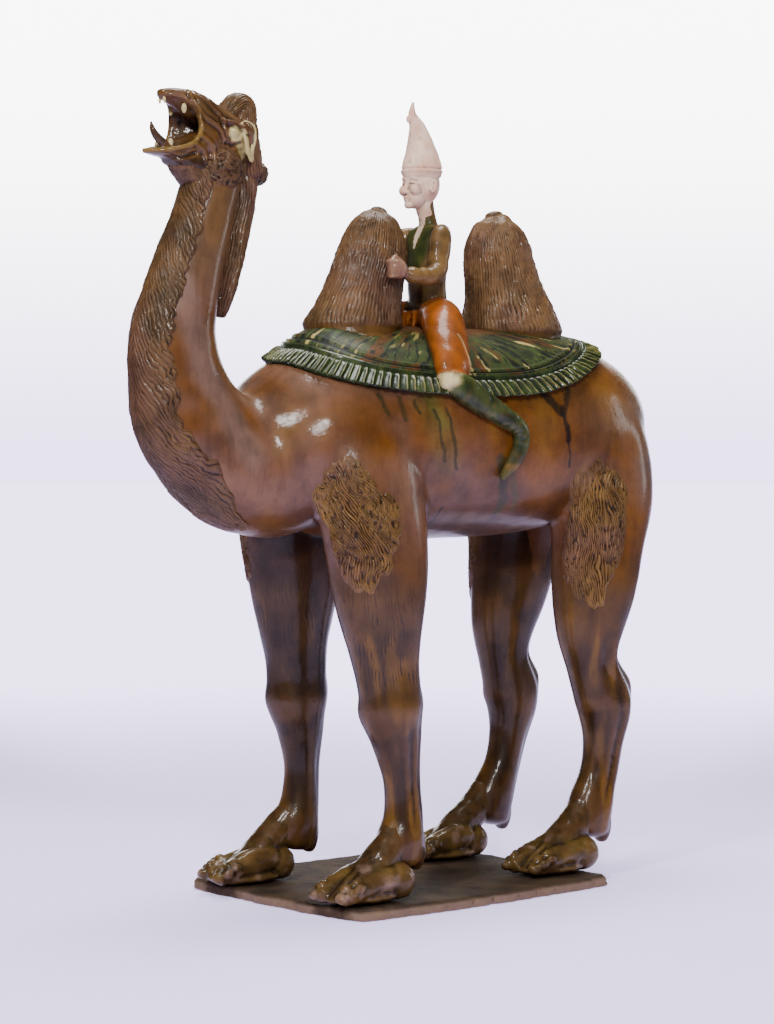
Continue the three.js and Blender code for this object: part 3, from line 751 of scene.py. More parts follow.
def mane():
    """The neck's oval, lifted by the hair's relief, from -spread to +spread round its front line.
    Strands are counted along the neck times the sine of their angle plus across times its cosine."""
    v = np.linspace(0, 1, MANE_ROWS)[:, None]
    rows = spline(NECK, MANE_START + (1 - MANE_START) * v[:, 0])
    front = frames(rows)[1]
    length = run_along(rows)[:, None]
    spread = np.linspace(-1, 1, MANE_SIDES)[None, :]
    flat = np.stack(np.broadcast_arrays(length, spread * 50, 0 * length), -1)
    edge = 1 + 0.08 * noise(flat, 13, 41) + 0.06 * noise(flat, 4, 42)
    ends = np.clip(np.minimum(v / 0.17, (1 - v) / 0.05), 0, 1) ** 0.6
    angle = MANE_SPREAD * spread * ends * edge
    out = np.abs(spread)
    across = out * MANE_SPREAD * rows[:, 4, None]
    run = length * math.sin(STRAND_ANGLE) + across * math.cos(STRAND_ANGLE)
    along = length * math.cos(STRAND_ANGLE) - across * math.sin(STRAND_ANGLE)
    run = run + 2.2 * noise(flat, 34, 43) + 0.8 * noise(flat, 9, 44)
    hair = locks(run / STRAND_WIDTH, along, STRAND_LENGTH, 45)
    fine = np.abs(np.sin(np.pi * run / STRAND_WIDTH * 2)) ** 0.7
    hair = 0.78 * hair + 0.22 * fine
    parting = ridge(out, 0, 0.07)
    clumps = noise(flat, 15, 46)
    fade = np.clip((1 - out) / 0.06, 0, 1) ** 0.5
    lift = (MANE_RISE * (0.45 + 0.5 * hair) + 1.1 * clumps - 1.2 * parting) * fade * ends - 2.5 * (1 - fade)
    lift -= 3.0 * (1 - ends)
    deep, wide = rows[:, 3, None], rows[:, 4, None]
    outer = (rows[:, None, :3] + front[:, None] * (np.cos(angle) * (deep + lift))[..., None]
             + SIDEWAYS * (np.sin(angle) * (wide + lift))[..., None])
    share = (np.arange(MANE_BACK) + 1)[None, :, None] / (MANE_BACK + 1)
    inner = outer[:, -1:] * (1 - share) + outer[:, :1] * share
    grid = np.concatenate([outer, inner], 1)
    poles = rows[[0, -1], :3] + front[[0, -1]] * rows[[0, -1], 3, None] * 0.8
    groove = np.zeros(grid.shape[:2])
    groove[:, :MANE_SIDES] = (1 - GROOVE_SLOPE * hair) * fade
    return modelled("mane", shell(grid, *poles), groove=np.append(groove.ravel(), [0, 0]))


mane_piece = mane()

# %% [markdown]
# ## Hair patches on shoulder and thigh
# Tufts were combed and pricked into a thin layer of clay pressed on the skin. A patch is a fan of rings
# that grows from its middle to a ragged outline, drawn as seen from the front quarter. Each point goes
# straight on until it meets the body, and then numpy lifts the locks along the surface's own normals.


# %% Lay a grid on the body
def loop_through(points, count):
    """A closed spline through points, as count places: the last point is repeated before the first,
    and the first two after the last."""
    points = np.asarray(points, float)
    closed = np.concatenate([points[-1:], points, points[:2]])
    turn = np.linspace(0, 1, count, endpoint=False)
    return spline(closed, (1 + turn * len(points)) / (len(points) + 2))


def laid_on(tree, points, direction):
    """The first place where a straight line from each point meets the surface held in the tree.
    The median length of the lines is the usual one. A line that misses, or goes much further, takes the
    surface's nearest place to the point that the usual length reaches. A tree answers for one point at
    a time, so this is the one place where points are gone through one by one."""
    found = [tree.ray_cast(start.tolist(), direction.tolist(), RAY_LENGTH) for start in points]
    length = np.array([np.nan if hit[3] is None else hit[3] for hit in found])
    usual = np.nanmedian(length)
    fits = np.abs(length - usual) < PATCH_DEPTH * MM
    ends = points + direction * usual
    return np.array([hit[0] if fit else tree.find_nearest(end.tolist())[0]
                     for hit, fit, end in zip(found, fits, ends)])


def grid_normals(grid, facing):
    """Directions square to a grid whose sides close round, turned to the side that it faces."""
    along = np.gradient(grid, axis=0)
    around = np.roll(grid, -1, 1) - np.roll(grid, 1, 1)
    normal = unit(np.cross(along, around))
    return normal * np.sign((normal @ facing).mean())


def softened(grid, rounds):
    """Each ring is averaged with the rings beside it and each point with the points beside it."""
    for _ in range(rounds):
        ring = np.concatenate([grid[:1], grid, grid[-1:]])
        grid = (ring[:-2] + 2 * grid + ring[2:]) / 4
        grid = (np.roll(grid, 1, 1) + 2 * grid + np.roll(grid, -1, 1)) / 4
    return grid


# %% Outlines of the patches
# How far across and how high, as seen from 51 degrees in front of the side.
SHOULDER_EDGE = [
    [-48, 452], [-66, 445], [-85, 423], [-87, 401], [-76, 381], [-64, 346], [-58, 328], [-40, 310],
    [-18, 322], [-4, 348], [3, 372], [1, 399], [-14, 416], [-30, 434],
]
THIGH_EDGE = [
    [222, 447], [240, 432], [252, 396], [245, 346], [233, 318], [220, 288], [200, 290], [181, 314],
    [178, 358], [184, 384], [184, 425], [197, 440],
]
QUARTER = math.radians(51.3)
PATCH_SIZE = {LEFT: (320, 58), RIGHT: (180, 38)}
PATCH_RISE, PATCH_GROOVE_SLOPE = 3.4, 1.8
TUFT_WIDTH, TUFT_LENGTH, PIT_SIZE = 2.5, 20, 2.0
PATCH_FROM, PATCH_DEPTH = 420, 70
RAY_LENGTH = 0.9
body_tree = mathutils.bvhtree.BVHTree.FromObject(body, bpy.context.evaluated_depsgraph_get())


# %% One patch
def hair_patch(name, edge, side, seed, slant, shift):
    """A patch whose outline is a closed spline, moved back by the leg's step. Locks run down and slant."""
    ahead = np.array([math.cos(QUARTER), -side * math.sin(QUARTER), 0.0])
    beside = np.array([math.sin(QUARTER), side * math.cos(QUARTER), 0.0])
    outline = np.array(edge, float) + [shift * math.sin(QUARTER), 0]
    middle = outline.mean(0)
    sides, rings = PATCH_SIZE[side]
    rim = loop_through(outline, sides)
    share = (np.arange(rings) + 1)[:, None] / rings
    ragged = 1 + 0.06 * noise(rim, 9, seed) + 0.06 * noise(rim, 4, seed + 1)
    flat = middle + (rim - middle) * (share * ragged)[..., None]
    start = flat[..., :1] * beside + flat[..., 1:] * [0, 0, 1] - ahead * PATCH_FROM
    laid = laid_on(body_tree, placed(start.reshape(-1, 3)), ahead).reshape(start.shape)
    laid = softened((laid - [0, 0, SOLES]) / MM, 4)
    normal = grid_normals(laid, -ahead)
    x, z = flat[..., 0], flat[..., 1]
    bend = 5.0 * noise(flat, 30, seed + 2) + 2.4 * noise(flat, 11, seed + 3)
    across = (x + slant(z) + bend) / TUFT_WIDTH
    hair = locks(across, z + 8 * noise(flat, 20, seed + 4), TUFT_LENGTH, seed + 5, 0.2)
    pits = np.clip((noise(flat * [1, 0.4], PIT_SIZE, seed + 6) - 0.40) * 3, 0, 1)
    hair *= 1 - 0.75 * pits
    rim_fade = np.clip((1 - share) / 0.10, 0, 1) ** 0.5
    lift = PATCH_RISE * (0.1 + 0.85 * hair) + 0.8 * noise(flat, 14, seed + 7)
    lift = lift * rim_fade - 2.0 * (1 - rim_fade)
    grid = laid + normal * lift[..., None]
    inside = grid.reshape(-1, 3).mean(0) + ahead * 24
    groove = ((1 - PATCH_GROOVE_SLOPE * hair) * rim_fade).ravel()
    return modelled(name, shell(grid, grid[0].mean(0), inside), groove=np.append(groove, [0.3, 0]))


# %% All four patches
def shoulder_slant(z):
    """The shoulder's locks lean back as they fall, and hang straight towards the patch's tip."""
    return 0.62 * np.clip(z - 350, 0, None) + 0.12 * np.clip(350 - z, 0, None)


def thigh_slant(z):
    """The thigh's locks hang nearly straight."""
    return 0.06 * (z - 370)


PATCHES = [
    ("shoulder_hair", SHOULDER_EDGE, 60, shoulder_slant, "fore"),
    ("thigh_hair", THIGH_EDGE, 80, thigh_slant, "hind"),
]
patches = []
for side, word in ((LEFT, "left"), (RIGHT, "right")):
    for name, edge, seed, slant, which in PATCHES:
        shift = stride_at(SWING_TOP, side, which) - stride_at(SWING_TOP, LEFT, which)
        patches.append(hair_patch(f"{name}_{word}", edge, side, seed + side, slant, shift))

# %% [markdown]
# ## Saddle cloth and fringe
# The cloth was laid over the back as a sheet of clay, with raised lines along its border, and a strip
# was pleated and luted on as its fringe. Both follow the trunk's own section: a point is found by how
# far round the outline it lies and how far out, so cloth and fringe can't part from the back.

# %% The cloth's own coordinates
CLOTH_MIDDLE = 30
# Length ahead of and behind the middle, and how square the outline is on the left and the right side.
CLOTH_FRONT, CLOTH_REAR = (176, 2.9, 1.7), (207, 2.3, 1.8)
CLOTH_DROP = math.radians(61)
SIDE_RADIUS = 113
trunk_steps = spline(TRUNK, np.linspace(0, 1, 2000))
trunk_up = frames(trunk_steps)[1]


def back_point(x, angle, lift):
    """A point of the trunk's skin over x, at an angle from its top, with a lift square to the skin.
    The trunk's rings lean, so the ring is looked up again a few times, its own lean taken off x."""
    axis = x
    for _ in range(6):
        z, deep, wide = (np.interp(axis, trunk_steps[:, 0], trunk_steps[:, column]) for column in (2, 3, 4))
        lean, rise = (np.interp(axis, trunk_steps[:, 0], trunk_up[:, column]) for column in (0, 2))
        axis = x - lean * deep * np.cos(angle)
    upward = np.cos(angle) / deep
    normal = unit(np.stack([lean * upward, np.sin(angle) / wide, rise * upward], -1))
    skin = np.stack([x + 0 * angle, wide * np.sin(angle), z + rise * deep * np.cos(angle)], -1)
    return skin + normal * np.asarray(lift)[..., None]


def padding(x, angle):
    """How much higher than the back the cloth lies: more in front of the first hump, less at the end."""
    return 11 * ridge(x, -114, 28) * ridge(angle, 0, math.radians(36)) - 2.5 * ridge(x, -168, 20)


def cloth_point(turn, share, lift, beyond=0.0, padded=1.0):
    """A point of the cloth. Its outline is a superellipse, squarer on the left than on the right.
    Share is 1 at the hem, and beyond is a distance past it."""
    ahead, sideways = np.cos(turn), np.sin(turn)
    length, left_power, right_power = np.where(ahead[..., None] < 0, CLOTH_FRONT, CLOTH_REAR).T.astype(float)
    length, power = length.T, np.where(sideways > 0, right_power.T, left_power.T)
    square = (np.abs(ahead) ** power + np.abs(sideways) ** power) ** (-1 / power)
    x = CLOTH_MIDDLE + ahead * square * (length * share + beyond)
    angle = sideways * square * (CLOTH_DROP * share + beyond / SIDE_RADIUS)
    return back_point(x, angle, lift) + (padded * padding(x, angle))[..., None] * [0, 0, 1]


# %% Cloth
CLOTH_THICKNESS, UNDER_CLOTH = 6, -4.0
CLOTH_SIDES, CLOTH_RINGS = 260, 74
BORDER_LINES = (0.900, 0.945)


def saddle_cloth():
    """Rings from the middle to the hem, over a flat underside, with ridges along the border."""
    around = circle(CLOTH_SIDES)
    share, turn = np.meshgrid(np.linspace(0.02, 1, CLOTH_RINGS), around, indexing="ij")
    flat = np.stack([np.cos(turn) * share * 200, np.sin(turn) * share * 130], -1)
    lift = CLOTH_THICKNESS - 0.9 + 0.5 * noise(flat, 30, 91)
    for line in BORDER_LINES:
        lift = lift + 1.9 * ridge(share, line, 0.011) - 0.9 * ridge(share, line + 0.022, 0.010)
    lift = lift * np.clip((1 - share) / 0.012, 0.2, 1)
    under_share, under_turn = np.meshgrid([1.0, 0.6, 0.2], around, indexing="ij")
    under = cloth_point(under_turn, under_share, np.full(under_turn.shape, UNDER_CLOTH), padded=0.0)
    grid = np.concatenate([cloth_point(turn, share, lift), under])
    middle, top_angle = np.array(float(CLOTH_MIDDLE)), np.array(0.0)
    poles = [back_point(middle, top_angle, high) for high in (CLOTH_THICKNESS - 0.9, UNDER_CLOTH - 2.0)]
    out = np.append(np.concatenate([share, under_share]).ravel(), [0, 0])
    round_it = np.append(np.concatenate([turn, under_turn]).ravel(), [0, 0])
    return modelled("saddle_cloth", shell(grid, *poles), share=out, turn=round_it)


# %% Fringe
FRINGE_DROP, FRINGE_FLARE, FRINGE_LIE = 25, 7, 0.15
FRINGE_PLEATS, FRINGE_STEPS = 132, 8
FRINGE_HEM, FRINGE_FROM = 1.6, 0.985


def fringe():
    """A pleated band. Its section runs over the heading's ridge, down the face and back under the hem.
    Each pleat is flat with a thin raised fold at its side, and its hem dips a little in the middle."""
    around = circle(FRINGE_PLEATS * FRINGE_STEPS)
    face, turn = np.meshgrid(np.linspace(0, 1, 15), around, indexing="ij")
    pleat = (turn / (2 * np.pi) * FRINGE_PLEATS) % 1
    number = np.floor(turn / (2 * np.pi) * FRINGE_PLEATS + 1e-6).astype(np.int64)
    own = lattice(number[..., None], 97)
    hang = FRINGE_LIE + (1 - FRINGE_LIE) * np.sin(turn) ** 2
    fold = ridge(pleat, 0.30 + 0.12 * own + 0.25 * face, 0.10) + 0.25 * np.sin(np.pi * pleat)
    body_lift = 5.2 + FRINGE_FLARE * hang * face
    heading = 2.6 * ridge(face, 0.10, 0.055) - 1.4 * ridge(face, 0.21, 0.05)
    lift = body_lift + heading + (3.0 * (fold - 0.5) + 1.4 * (own - 0.5)) * np.clip(face / 0.3 - 0.6, 0, 1)
    drop = FRINGE_DROP * (face - 0.16) + (FRINGE_HEM * (own - 0.5) + 1.2 * np.sin(np.pi * pleat)) * face ** 3
    top = cloth_point(turn, np.full(turn.shape, FRINGE_FROM), lift, drop, 1 - 0.15 * face)
    back, under_turn = np.meshgrid(np.linspace(1, 0, 5), around, indexing="ij")
    under_lift = np.clip(FRINGE_FLARE * hang[:1] * back - 1.0, -1.0, None)
    under_drop = FRINGE_DROP * (back - 0.16) * 0.97
    under_share = np.full(back.shape, FRINGE_FROM)
    under = cloth_point(under_turn, under_share, under_lift, under_drop, 0.85 * back)
    thin = np.concatenate([fold * np.clip(face * 3, 0, 1) + heading / 4, 0 * back]).ravel()
    return modelled("fringe", closed_band(np.concatenate([top, under])), thin=np.clip(thin, 0, 1))


cloth_piece, fringe_piece = saddle_cloth(), fringe()

# %% [markdown]
# ## The camel's head
# The head is thrown back and the mouth is wide open. Skull, jaw and muzzle are lofts again. The mouth is
# a real hollow: a funnel from the line of the lips to the throat is cut away, and a rolled lip is laid
# round it. Folds of skin and lids are ridges along lines drawn on the side of the head, each with a
# groove beside it, so they always lie in the skin.

# %% Stations of the head
SKULL = [
    [-304, 0, 811, 2.4, 6], [-295, 0, 811, 4.4, 11], [-280, 0, 809, 7, 14.5],
    [-265, 0, 803, 12, 18], [-250, 0, 790, 18, 22], [-233, 0, 777, 23, 25.5],
    [-215, 0, 764, 25, 28], [-203, 0, 757, 18, 20],
]
JAW = [
    [-321, 0, 751, 2, 6], [-311, 0, 751, 3.4, 11], [-298, 0, 750, 5, 14], [-284, 0, 746, 11, 17],
    [-266, 0, 744, 17, 20], [-246, 0, 748, 22, 24], [-226, 0, 754, 24, 26],
]
LIPS = [
    [-304, 0, 808], [-299, -7, 808], [-286, -13, 806], [-275, -18, 798], [-270, -21, 788],
    [-269, -22, 777], [-272, -21.5, 767], [-279, -20, 759.5], [-292, -17, 755], [-307, -11, 752.5],
    [-318, -5, 752], [-322, 0, 752],
]
# The far corner of the mouth is this much further forward than the near one.
CORNER_SHIFT = 9
THROAT = [-243, 0, 771]
# The muzzle's last ring: x, z, half-width and half-height.
MUZZLE_BACK = [-240, 770, 25, 28]
LUMPS = [
    [-241, -15, 739, 23, 14, 22],
    [-231, -20, 774, 8.5, 9.5, 8],
    [-248, -16, 786, 14, 8, 9],
    [-269, -7, 809, 7, 6, 6],
]
# Ridges on the side of the head: how high, how wide, and the places in x and z that each runs through.
FOLDS = [
    [2.2, 1.7, [[-278, 813], [-274, 801], [-264, 786], [-250, 777], [-243, 766]]],
    [1.7, 1.6, [[-265, 809], [-252, 796], [-243, 784], [-238, 761]]],
    [1.3, 1.5, [[-254, 806], [-243, 795], [-234, 790]]],
    [1.4, 1.7, [[-268, 768], [-259, 761], [-254, 752], [-256, 742]]],
    [1.2, 1.6, [[-273, 759], [-264, 752], [-262, 743]]],
    [2.6, 1.9, [[-243, 785], [-234, 784], [-225, 781], [-217, 776]]],
    [-2.0, 1.5, [[-240, 763], [-233, 761], [-226, 764]]],
    [-1.8, 1.6, [[-317, 747.5], [-302, 746.5], [-288, 746.5], [-274, 751]]],
]
EAR = [
    [-224, -27, 784], [-218, -30, 785], [-212, -32, 779], [-211, -32, 768], [-213, -30, 756],
    [-212, -28, 746], [-216, -28, 751], [-219, -29, 763], [-221, -28, 774],
]


# %% Lips, and bars that close on themselves
def lip_loop(count):
    """The line of the lips, closed: the left half through its points, and the right half mirrored."""
    t = np.linspace(0, 1, count)
    left = spline(LIPS, t)
    right = left * [1, -1, 1] - CORNER_SHIFT * (np.sin(np.pi * t) ** 2)[:, None] * [1, 0, 0]
    return np.concatenate([left, right[-2:0:-1]])


def ring_bar(line, radius, sides=10):
    """A round bar along a closed line: circles square to the line, joined end to end."""
    path = unit(np.roll(line, -1, 0) - np.roll(line, 1, 0))
    out = unit(line - line.mean(0))
    out = unit(out - (out * path).sum(-1, keepdims=True) * path)
    other = np.cross(path, out)
    turn = circle(sides)[:, None]
    grid = line[:, None] + radius * (np.cos(turn) * out[:, None] + np.sin(turn) * other[:, None])
    return closed_band(grid)


# %% Fuse the head, then cut the mouth
HEAD_VOXEL = 1.15
FOLD_STEPS = np.linspace(0, 1, 40)
lips = lip_loop(60)
lip_middle = lips.mean(0)
inner_lips = lip_middle + (lips - lip_middle) * 0.88
steps = np.array([1.3, 1.14, 1.0, 0.84, 0.66, 0.48, 0.3, 0.15])[:, None, None]
funnel = shell(THROAT + (inner_lips - THROAT) * steps, THROAT + (lip_middle - THROAT) * 1.3, np.array(THROAT))

back_x, back_z, back_wide, back_tall = MUZZLE_BACK
turn = circle(len(lips))
back_ring = np.stack([back_x + 0 * turn, -back_wide * np.sin(turn), back_z + back_tall * np.cos(turn)], -1)
share = np.linspace(0, 1, 9)[:, None, None]
bulge = 2.5 * np.sin(np.pi * share) * unit((lips - lip_middle) * [0, 1, 1])
muzzle = shell(lips * (1 - share) + back_ring * share + bulge, lip_middle, back_ring.mean(0))
shells = [tube(SKULL, 60, 90), tube(JAW, 60, 90), muzzle]
for row in LUMPS:
    shells += [lump(*row), mirrored(lump(*row))]
head = carved(fused("camel_head", shells, HEAD_VOXEL, 5), funnel)

# %% Press on lips, ears, tongue and tusk, and raise the folds
TONGUE = [[-303, 0, 757, 3, 9], [-290, 0, 760, 5, 12], [-273, 0, 765, 7, 12], [-254, 0, 771, 6, 10]]
TUSK = [[-298, -9, 756], [-307, -9.5, 760], [-314.5, -9.5, 766], [-318.5, -9.5, 772], [-320, -9, 779]]
shells = [ring_bar(lips, 2.3), tube(TONGUE, 24, 20), lump(-296, 0, 810.5, 10, 9, 3.6)]
shells.append(rod(TUSK, [4.6, 4.6, 4.2, 3.2, 1.4]))
ear = [ring_bar(loop_through(EAR, 60), 1.7, 8), lump(-217, -26.5, 767, 6.5, 2.0, 15)]
shells += ear + [mirrored(part) for part in ear]
head = pressed(head, shells, HEAD_VOXEL, 3)


def to_places(at, places):
    """Distance of each point from the nearest of some places."""
    return np.linalg.norm(at[:, None] - places[None], axis=-1).min(1)


at = drawn(head)
on_side = 1 / (1 + np.exp((9 - np.abs(at[:, 1])) / 1.5))
lift = 0.3 * noise(at, 9, 5) + 0.22 * noise(at, 3.2, 8)
for high, wide, line in FOLDS:
    away = to_places(at[:, [0, 2]], spline(line, FOLD_STEPS))
    lift += high * (ridge(away, 0, wide) - 0.45 * ridge(away, 2.2 * wide, wide)) * on_side
swell(head, lift)
smooth(head.data, 1)

# %% Teeth
TEETH = [
    [-283, -12, 795, 2.8, 2.6, 5.0],
    [-301, -4, 803, 1.6, 1.6, 3.6],
    [-299, -12, 760, 2.8, 2.6, 4.4],
]
shells = []
for row in TEETH:
    shells += [lump(*row, 14, 9), mirrored(lump(*row, 14, 9))]
teeth = modelled("teeth", together(shells))

# %% [markdown]
# ## Hair on the head
# The crest stands up between the ears and falls down the nape as one long lock. Curls on the cheeks
# were pricked with a pointed stick, so they are an egg shape with pits instead of strands.

# %% Crest, nape lock, beard and tail
CREST = [
    [-231, 0, 790, 5, 9], [-219, 0, 800, 11, 14], [-208, 0, 803, 14, 16], [-206, 0, 786, 13.5, 18],
    [-203, 0, 760, 15, 20], [-199, 0, 738, 16, 19],
]
NAPE = [
    [-206, 0, 748, 13, 15], [-204, 0, 728, 13, 16], [-208, 0, 700, 11, 15], [-214, 0, 668, 10, 14],
    [-222, 0, 634, 9, 13], [-228, 0, 608, 7, 10], [-231, 0, 593, 3.5, 5],
]
BEARD = [
    [-289, 0, 744, 4, 9], [-282, 0, 740, 8, 13], [-271, 0, 733, 11, 17], [-258, 0, 722, 13, 20],
    [-260, 0, 700, 13, 18],
]
TAIL = [
    [303, 0, 526, 10, 12], [319, 0, 506, 10.5, 14], [324, 0, 466, 10, 15], [320, 0, 430, 10, 14],
    [310, 0, 402, 6, 9],
]
crest = combed("crest", CREST, (170, 60), 34, 22, 2.6, 131)
nape = combed("nape_lock", NAPE, (120, 110), 24, 60, 3.0, 141)
beard = combed("beard", BEARD, (110, 50), 30, 18, 1.8, 151)
tail = combed("tail", TAIL, (90, 90), 18, 60, 2.6, 161)


# %% Pricked curls
def curls(name, x, y, z, dx, dy, dz, seed, size=(130, 72)):
    """An egg whose half-sizes grow by a relief: round knots where the noise is high, pits where it is
    low. Size is its numbers of sides and rings."""
    points, *faces = lump(x, y, z, dx, dy, dz, *size)
    out = unit((points - [x, y, z]) / np.array([dx, dy, dz]) ** 2)
    knots = 0.8 * noise(points, 3.4, seed) + 0.5 * noise(points, 1.9, seed + 1)
    strand = np.sin((points[:, 0] * 0.5 + points[:, 2] + 3.5 * noise(points, 6, seed + 2)) * 2.4)
    hair = np.clip(0.62 + 0.75 * knots + 0.30 * strand, 0, 1)
    points = points + out * (hair[:, None] * 2.2 - 1.0)
    return modelled(name, (points, *faces), groove=1 - hair)


CHEEK_CURLS = [-240, -19, 737, 22, 11, 21]
KNOB_CURLS = [-187, 0, 738, 11.5, 13, 12]
cheek_curls = []
for side, word in ((LEFT, "left"), (RIGHT, "right")):
    x, y, *rest = CHEEK_CURLS
    cheek_curls.append(curls(f"cheek_curls_{word}", x, -y * side, *rest, 171 + side))
knob = curls("nape_knob", *KNOB_CURLS, 181, (80, 44))

# %% [markdown]
# ## The rider
# The rider was moulded apart and set astride the cloth. Body, arms and legs are lofts fused like the
# camel's. Coat, skirt and boots are carved in the same clay, so they aren't pieces of cloth: each point
# belongs to the limb whose axis is nearest, and folds and hems follow that limb as sines and ridges.

# %% Stations of the rider, left side
RIDER_TORSO = [
    [46, 0, 574, 24, 34], [44, 0, 592, 25, 33], [40, 0, 612, 19, 26], [38, 0, 634, 17, 25],
    [38, 0, 656, 18.5, 27], [41, 0, 678, 18.5, 29], [43, 0, 695, 13, 25],
]
RIDER_NECK = [
    [43, 0, 690, 10, 12],
    [39, 0, 708, 9, 9.5],
    [34, 0, 726, 10, 10],
]
ARM = [
    [40, -24, 690, 10, 9], [30, -34, 684, 12, 10.5], [22, -40, 664, 11.5, 10.5],
    [14, -46, 645, 10.5, 10], [-6, -48, 640, 9, 9], [-26, -47, 641, 7.5, 7.5],
]
FIST = [-39, -47, 646, 10, 8.5, 10.5]
THIGH = [
    [38, -16, 600, 20, 22], [22, -46, 592, 24, 22], [4, -76, 568, 25, 19], [-10, -98, 546, 22, 16],
    [-20, -108, 528, 15, 12],
]
BOOT = [
    [-30, -110, 528, 9, 9], [-16, -114, 525, 14, 12], [12, -119, 508, 13.5, 11.5],
    [42, -122, 492, 11, 10], [62, -123, 480, 9.5, 9], [66, -121, 462, 9, 8],
    [58, -117, 444, 8, 6.5], [47, -112, 428, 4, 4],
]
RIDER_VOXEL, RIDER_TRIANGLES = 1.45, 80000
FINGERS = 4
WAIST = 609


def grip(side):
    """A closed hand: a palm, four curled fingers stacked in front of it and a thumb on top."""
    x, y, z, *half = FIST
    made = [lump(x, y, z, *half)]
    for k in range(FINGERS):
        high = z + 7.2 - 4.9 * k
        finger = [[x - 5, y - 7, high], [x - 11, y - 3, high - 0.6], [x - 10, y + 5, high]]
        made.append(rod(finger, [2.3, 2.7, 2.4]))
    made.append(rod([[x + 4, y + 2, z + 9], [x - 4, y - 1, z + 12], [x - 9, y - 1, z + 9]], [2.6, 2.6, 2.2]))
    return made if side == LEFT else [mirrored(part) for part in made]


# %% Fuse the rider's body
shells = [tube(RIDER_TORSO, 48, 60, reach=0.3), tube(RIDER_NECK, 32, 20)]
for side in (LEFT, RIGHT):
    for stations in (ARM, THIGH, BOOT):
        rows = np.array(stations, float) * [1, -side, 1, 1, 1]
        shells.append(tube(rows, 32, 50))
    shells += grip(side)
shells.append(lump(22, 0, WAIST - 3, 5, 6, 4.5))
shells.append(rod([[20, -2, WAIST - 4], [16, -5, WAIST - 12], [14, -6, WAIST - 20]], [2.6, 2.4, 1.6]))
shells.append(rod([[20, 3, WAIST - 4], [16, 5, WAIST - 11], [15, 6, WAIST - 17]], [2.4, 2.2, 1.4]))
rider = fused("rider_body", shells, RIDER_VOXEL, 4)


# %% Which limb a point belongs to
def nearest_on(points, stations, count=90):
    """For each point, its share of the way along a limb and its distance from the limb's axis, divided
    by the limb's half-width there."""
    t = np.linspace(0, 1, count)
    rows = spline(stations, t)
    away = np.linalg.norm(points[:, None] - rows[None, :, :3], axis=-1) / rows[None, :, 3:5].max(-1)
    best = away.argmin(1)
    return t[best], away[np.arange(len(points)), best]


def folded(at):
    """Points with the right side folded onto the left: y becomes minus its size."""
    return np.stack([at[:, 0], -np.abs(at[:, 1]), at[:, 2]], -1)


at = drawn(rider)
half = folded(at)
LIMBS = (RIDER_TORSO, RIDER_NECK, ARM, THIGH, BOOT)
shares, reaches = zip(*(nearest_on(half, limb) for limb in LIMBS))
nearest = np.array(reaches).argmin(0)
on_torso, on_neck, on_arm, on_thigh, on_boot = (nearest == number for number in range(len(LIMBS)))
arm_share, thigh_share, boot_share = shares[2:]
on_hand = (half[:, 0] < -29) & (half[:, 2] > 628)
on_arm = on_arm & ~on_hand
front = np.degrees(np.arctan2(np.abs(at[:, 1]), -(at[:, 0] - 41)))
opening = np.interp(at[:, 2], [664, 704], [0, 34])
lapel_end = np.interp(at[:, 2], [640, 665, 704], [12, 46, 74])
lapel = ((on_torso | on_neck) & (at[:, 2] > 636) & (at[:, 2] < 708)
         & (front > opening - 6) & (front < lapel_end))
shirt = (on_torso | on_neck) & (at[:, 2] > 668) & (front <= opening - 6)
skirt = (on_thigh | (on_torso & (at[:, 2] < WAIST))) & ~on_boot
masks = {"lapel": lapel, "shirt": shirt, "skirt": skirt, "hand": on_hand}
print("rider_body:", {name: int(mask.sum()) for name, mask in masks.items()}, "points")

# %% Folds, belt, lapels and hems
lift = 0.35 * noise(at, 9, 201)
lift += 1.1 * lapel
lift -= 1.3 * ridge(at[:, 2], WAIST + 1.5 * noise(at[:, :2], 18, 202), 1.7) * on_torso
lift += 0.9 * ridge(at[:, 2], WAIST + 4, 2.4) * on_torso
sleeve = np.sin(arm_share * 34 + at[:, 2] * 0.22 + 2.4 * noise(at, 12, 203))
lift += 0.5 * sleeve * on_arm * np.clip(np.sin(np.pi * arm_share) * 1.6, 0, 1)
lift += 1.5 * on_arm * ridge(arm_share, 0.93, 0.045)
pleats = np.sin(at[:, 0] * 0.16 + at[:, 2] * 0.30 + 2.0 * noise(at, 20, 204))
lift += 0.25 * pleats * skirt
seam = ridge(half[:, 0] + 0.10 * (half[:, 2] - 560), 4, 1.4) * (half[:, 1] < -60) * (half[:, 2] < 578)
lift += 1.6 * seam * skirt
lift += 1.3 * skirt * (0.25 + ridge(thigh_share, 0.93, 0.05) * on_thigh)
wrinkles = np.sin(boot_share * 96 + 3.0 * noise(at, 7, 205))
wrinkles *= np.clip(noise(at * [1, 1, 0.6], 9, 206) * 3, 0, 1)
lift += 0.85 * wrinkles * on_boot * ridge(boot_share, 0.42, 0.20)
lift += 1.0 * on_boot * ridge(boot_share, 0.20, 0.02)
swell(rider, lift)
smooth(rider.data, 1)

# %% [markdown]
# ## The rider's head and hat
# The glaze ends at the neck, so the head and the tall felt hat are bare clay, and finer pieces of their
# own. The face is a plain, calm one on the proportions that drawing books teach: the eyes half way up
# the head and one eye apart, the nose ending half way from brow to chin, the mouth a third below. The
# hat is one loft, because felt was pulled over a form, and its seam and stitches are in its relief.

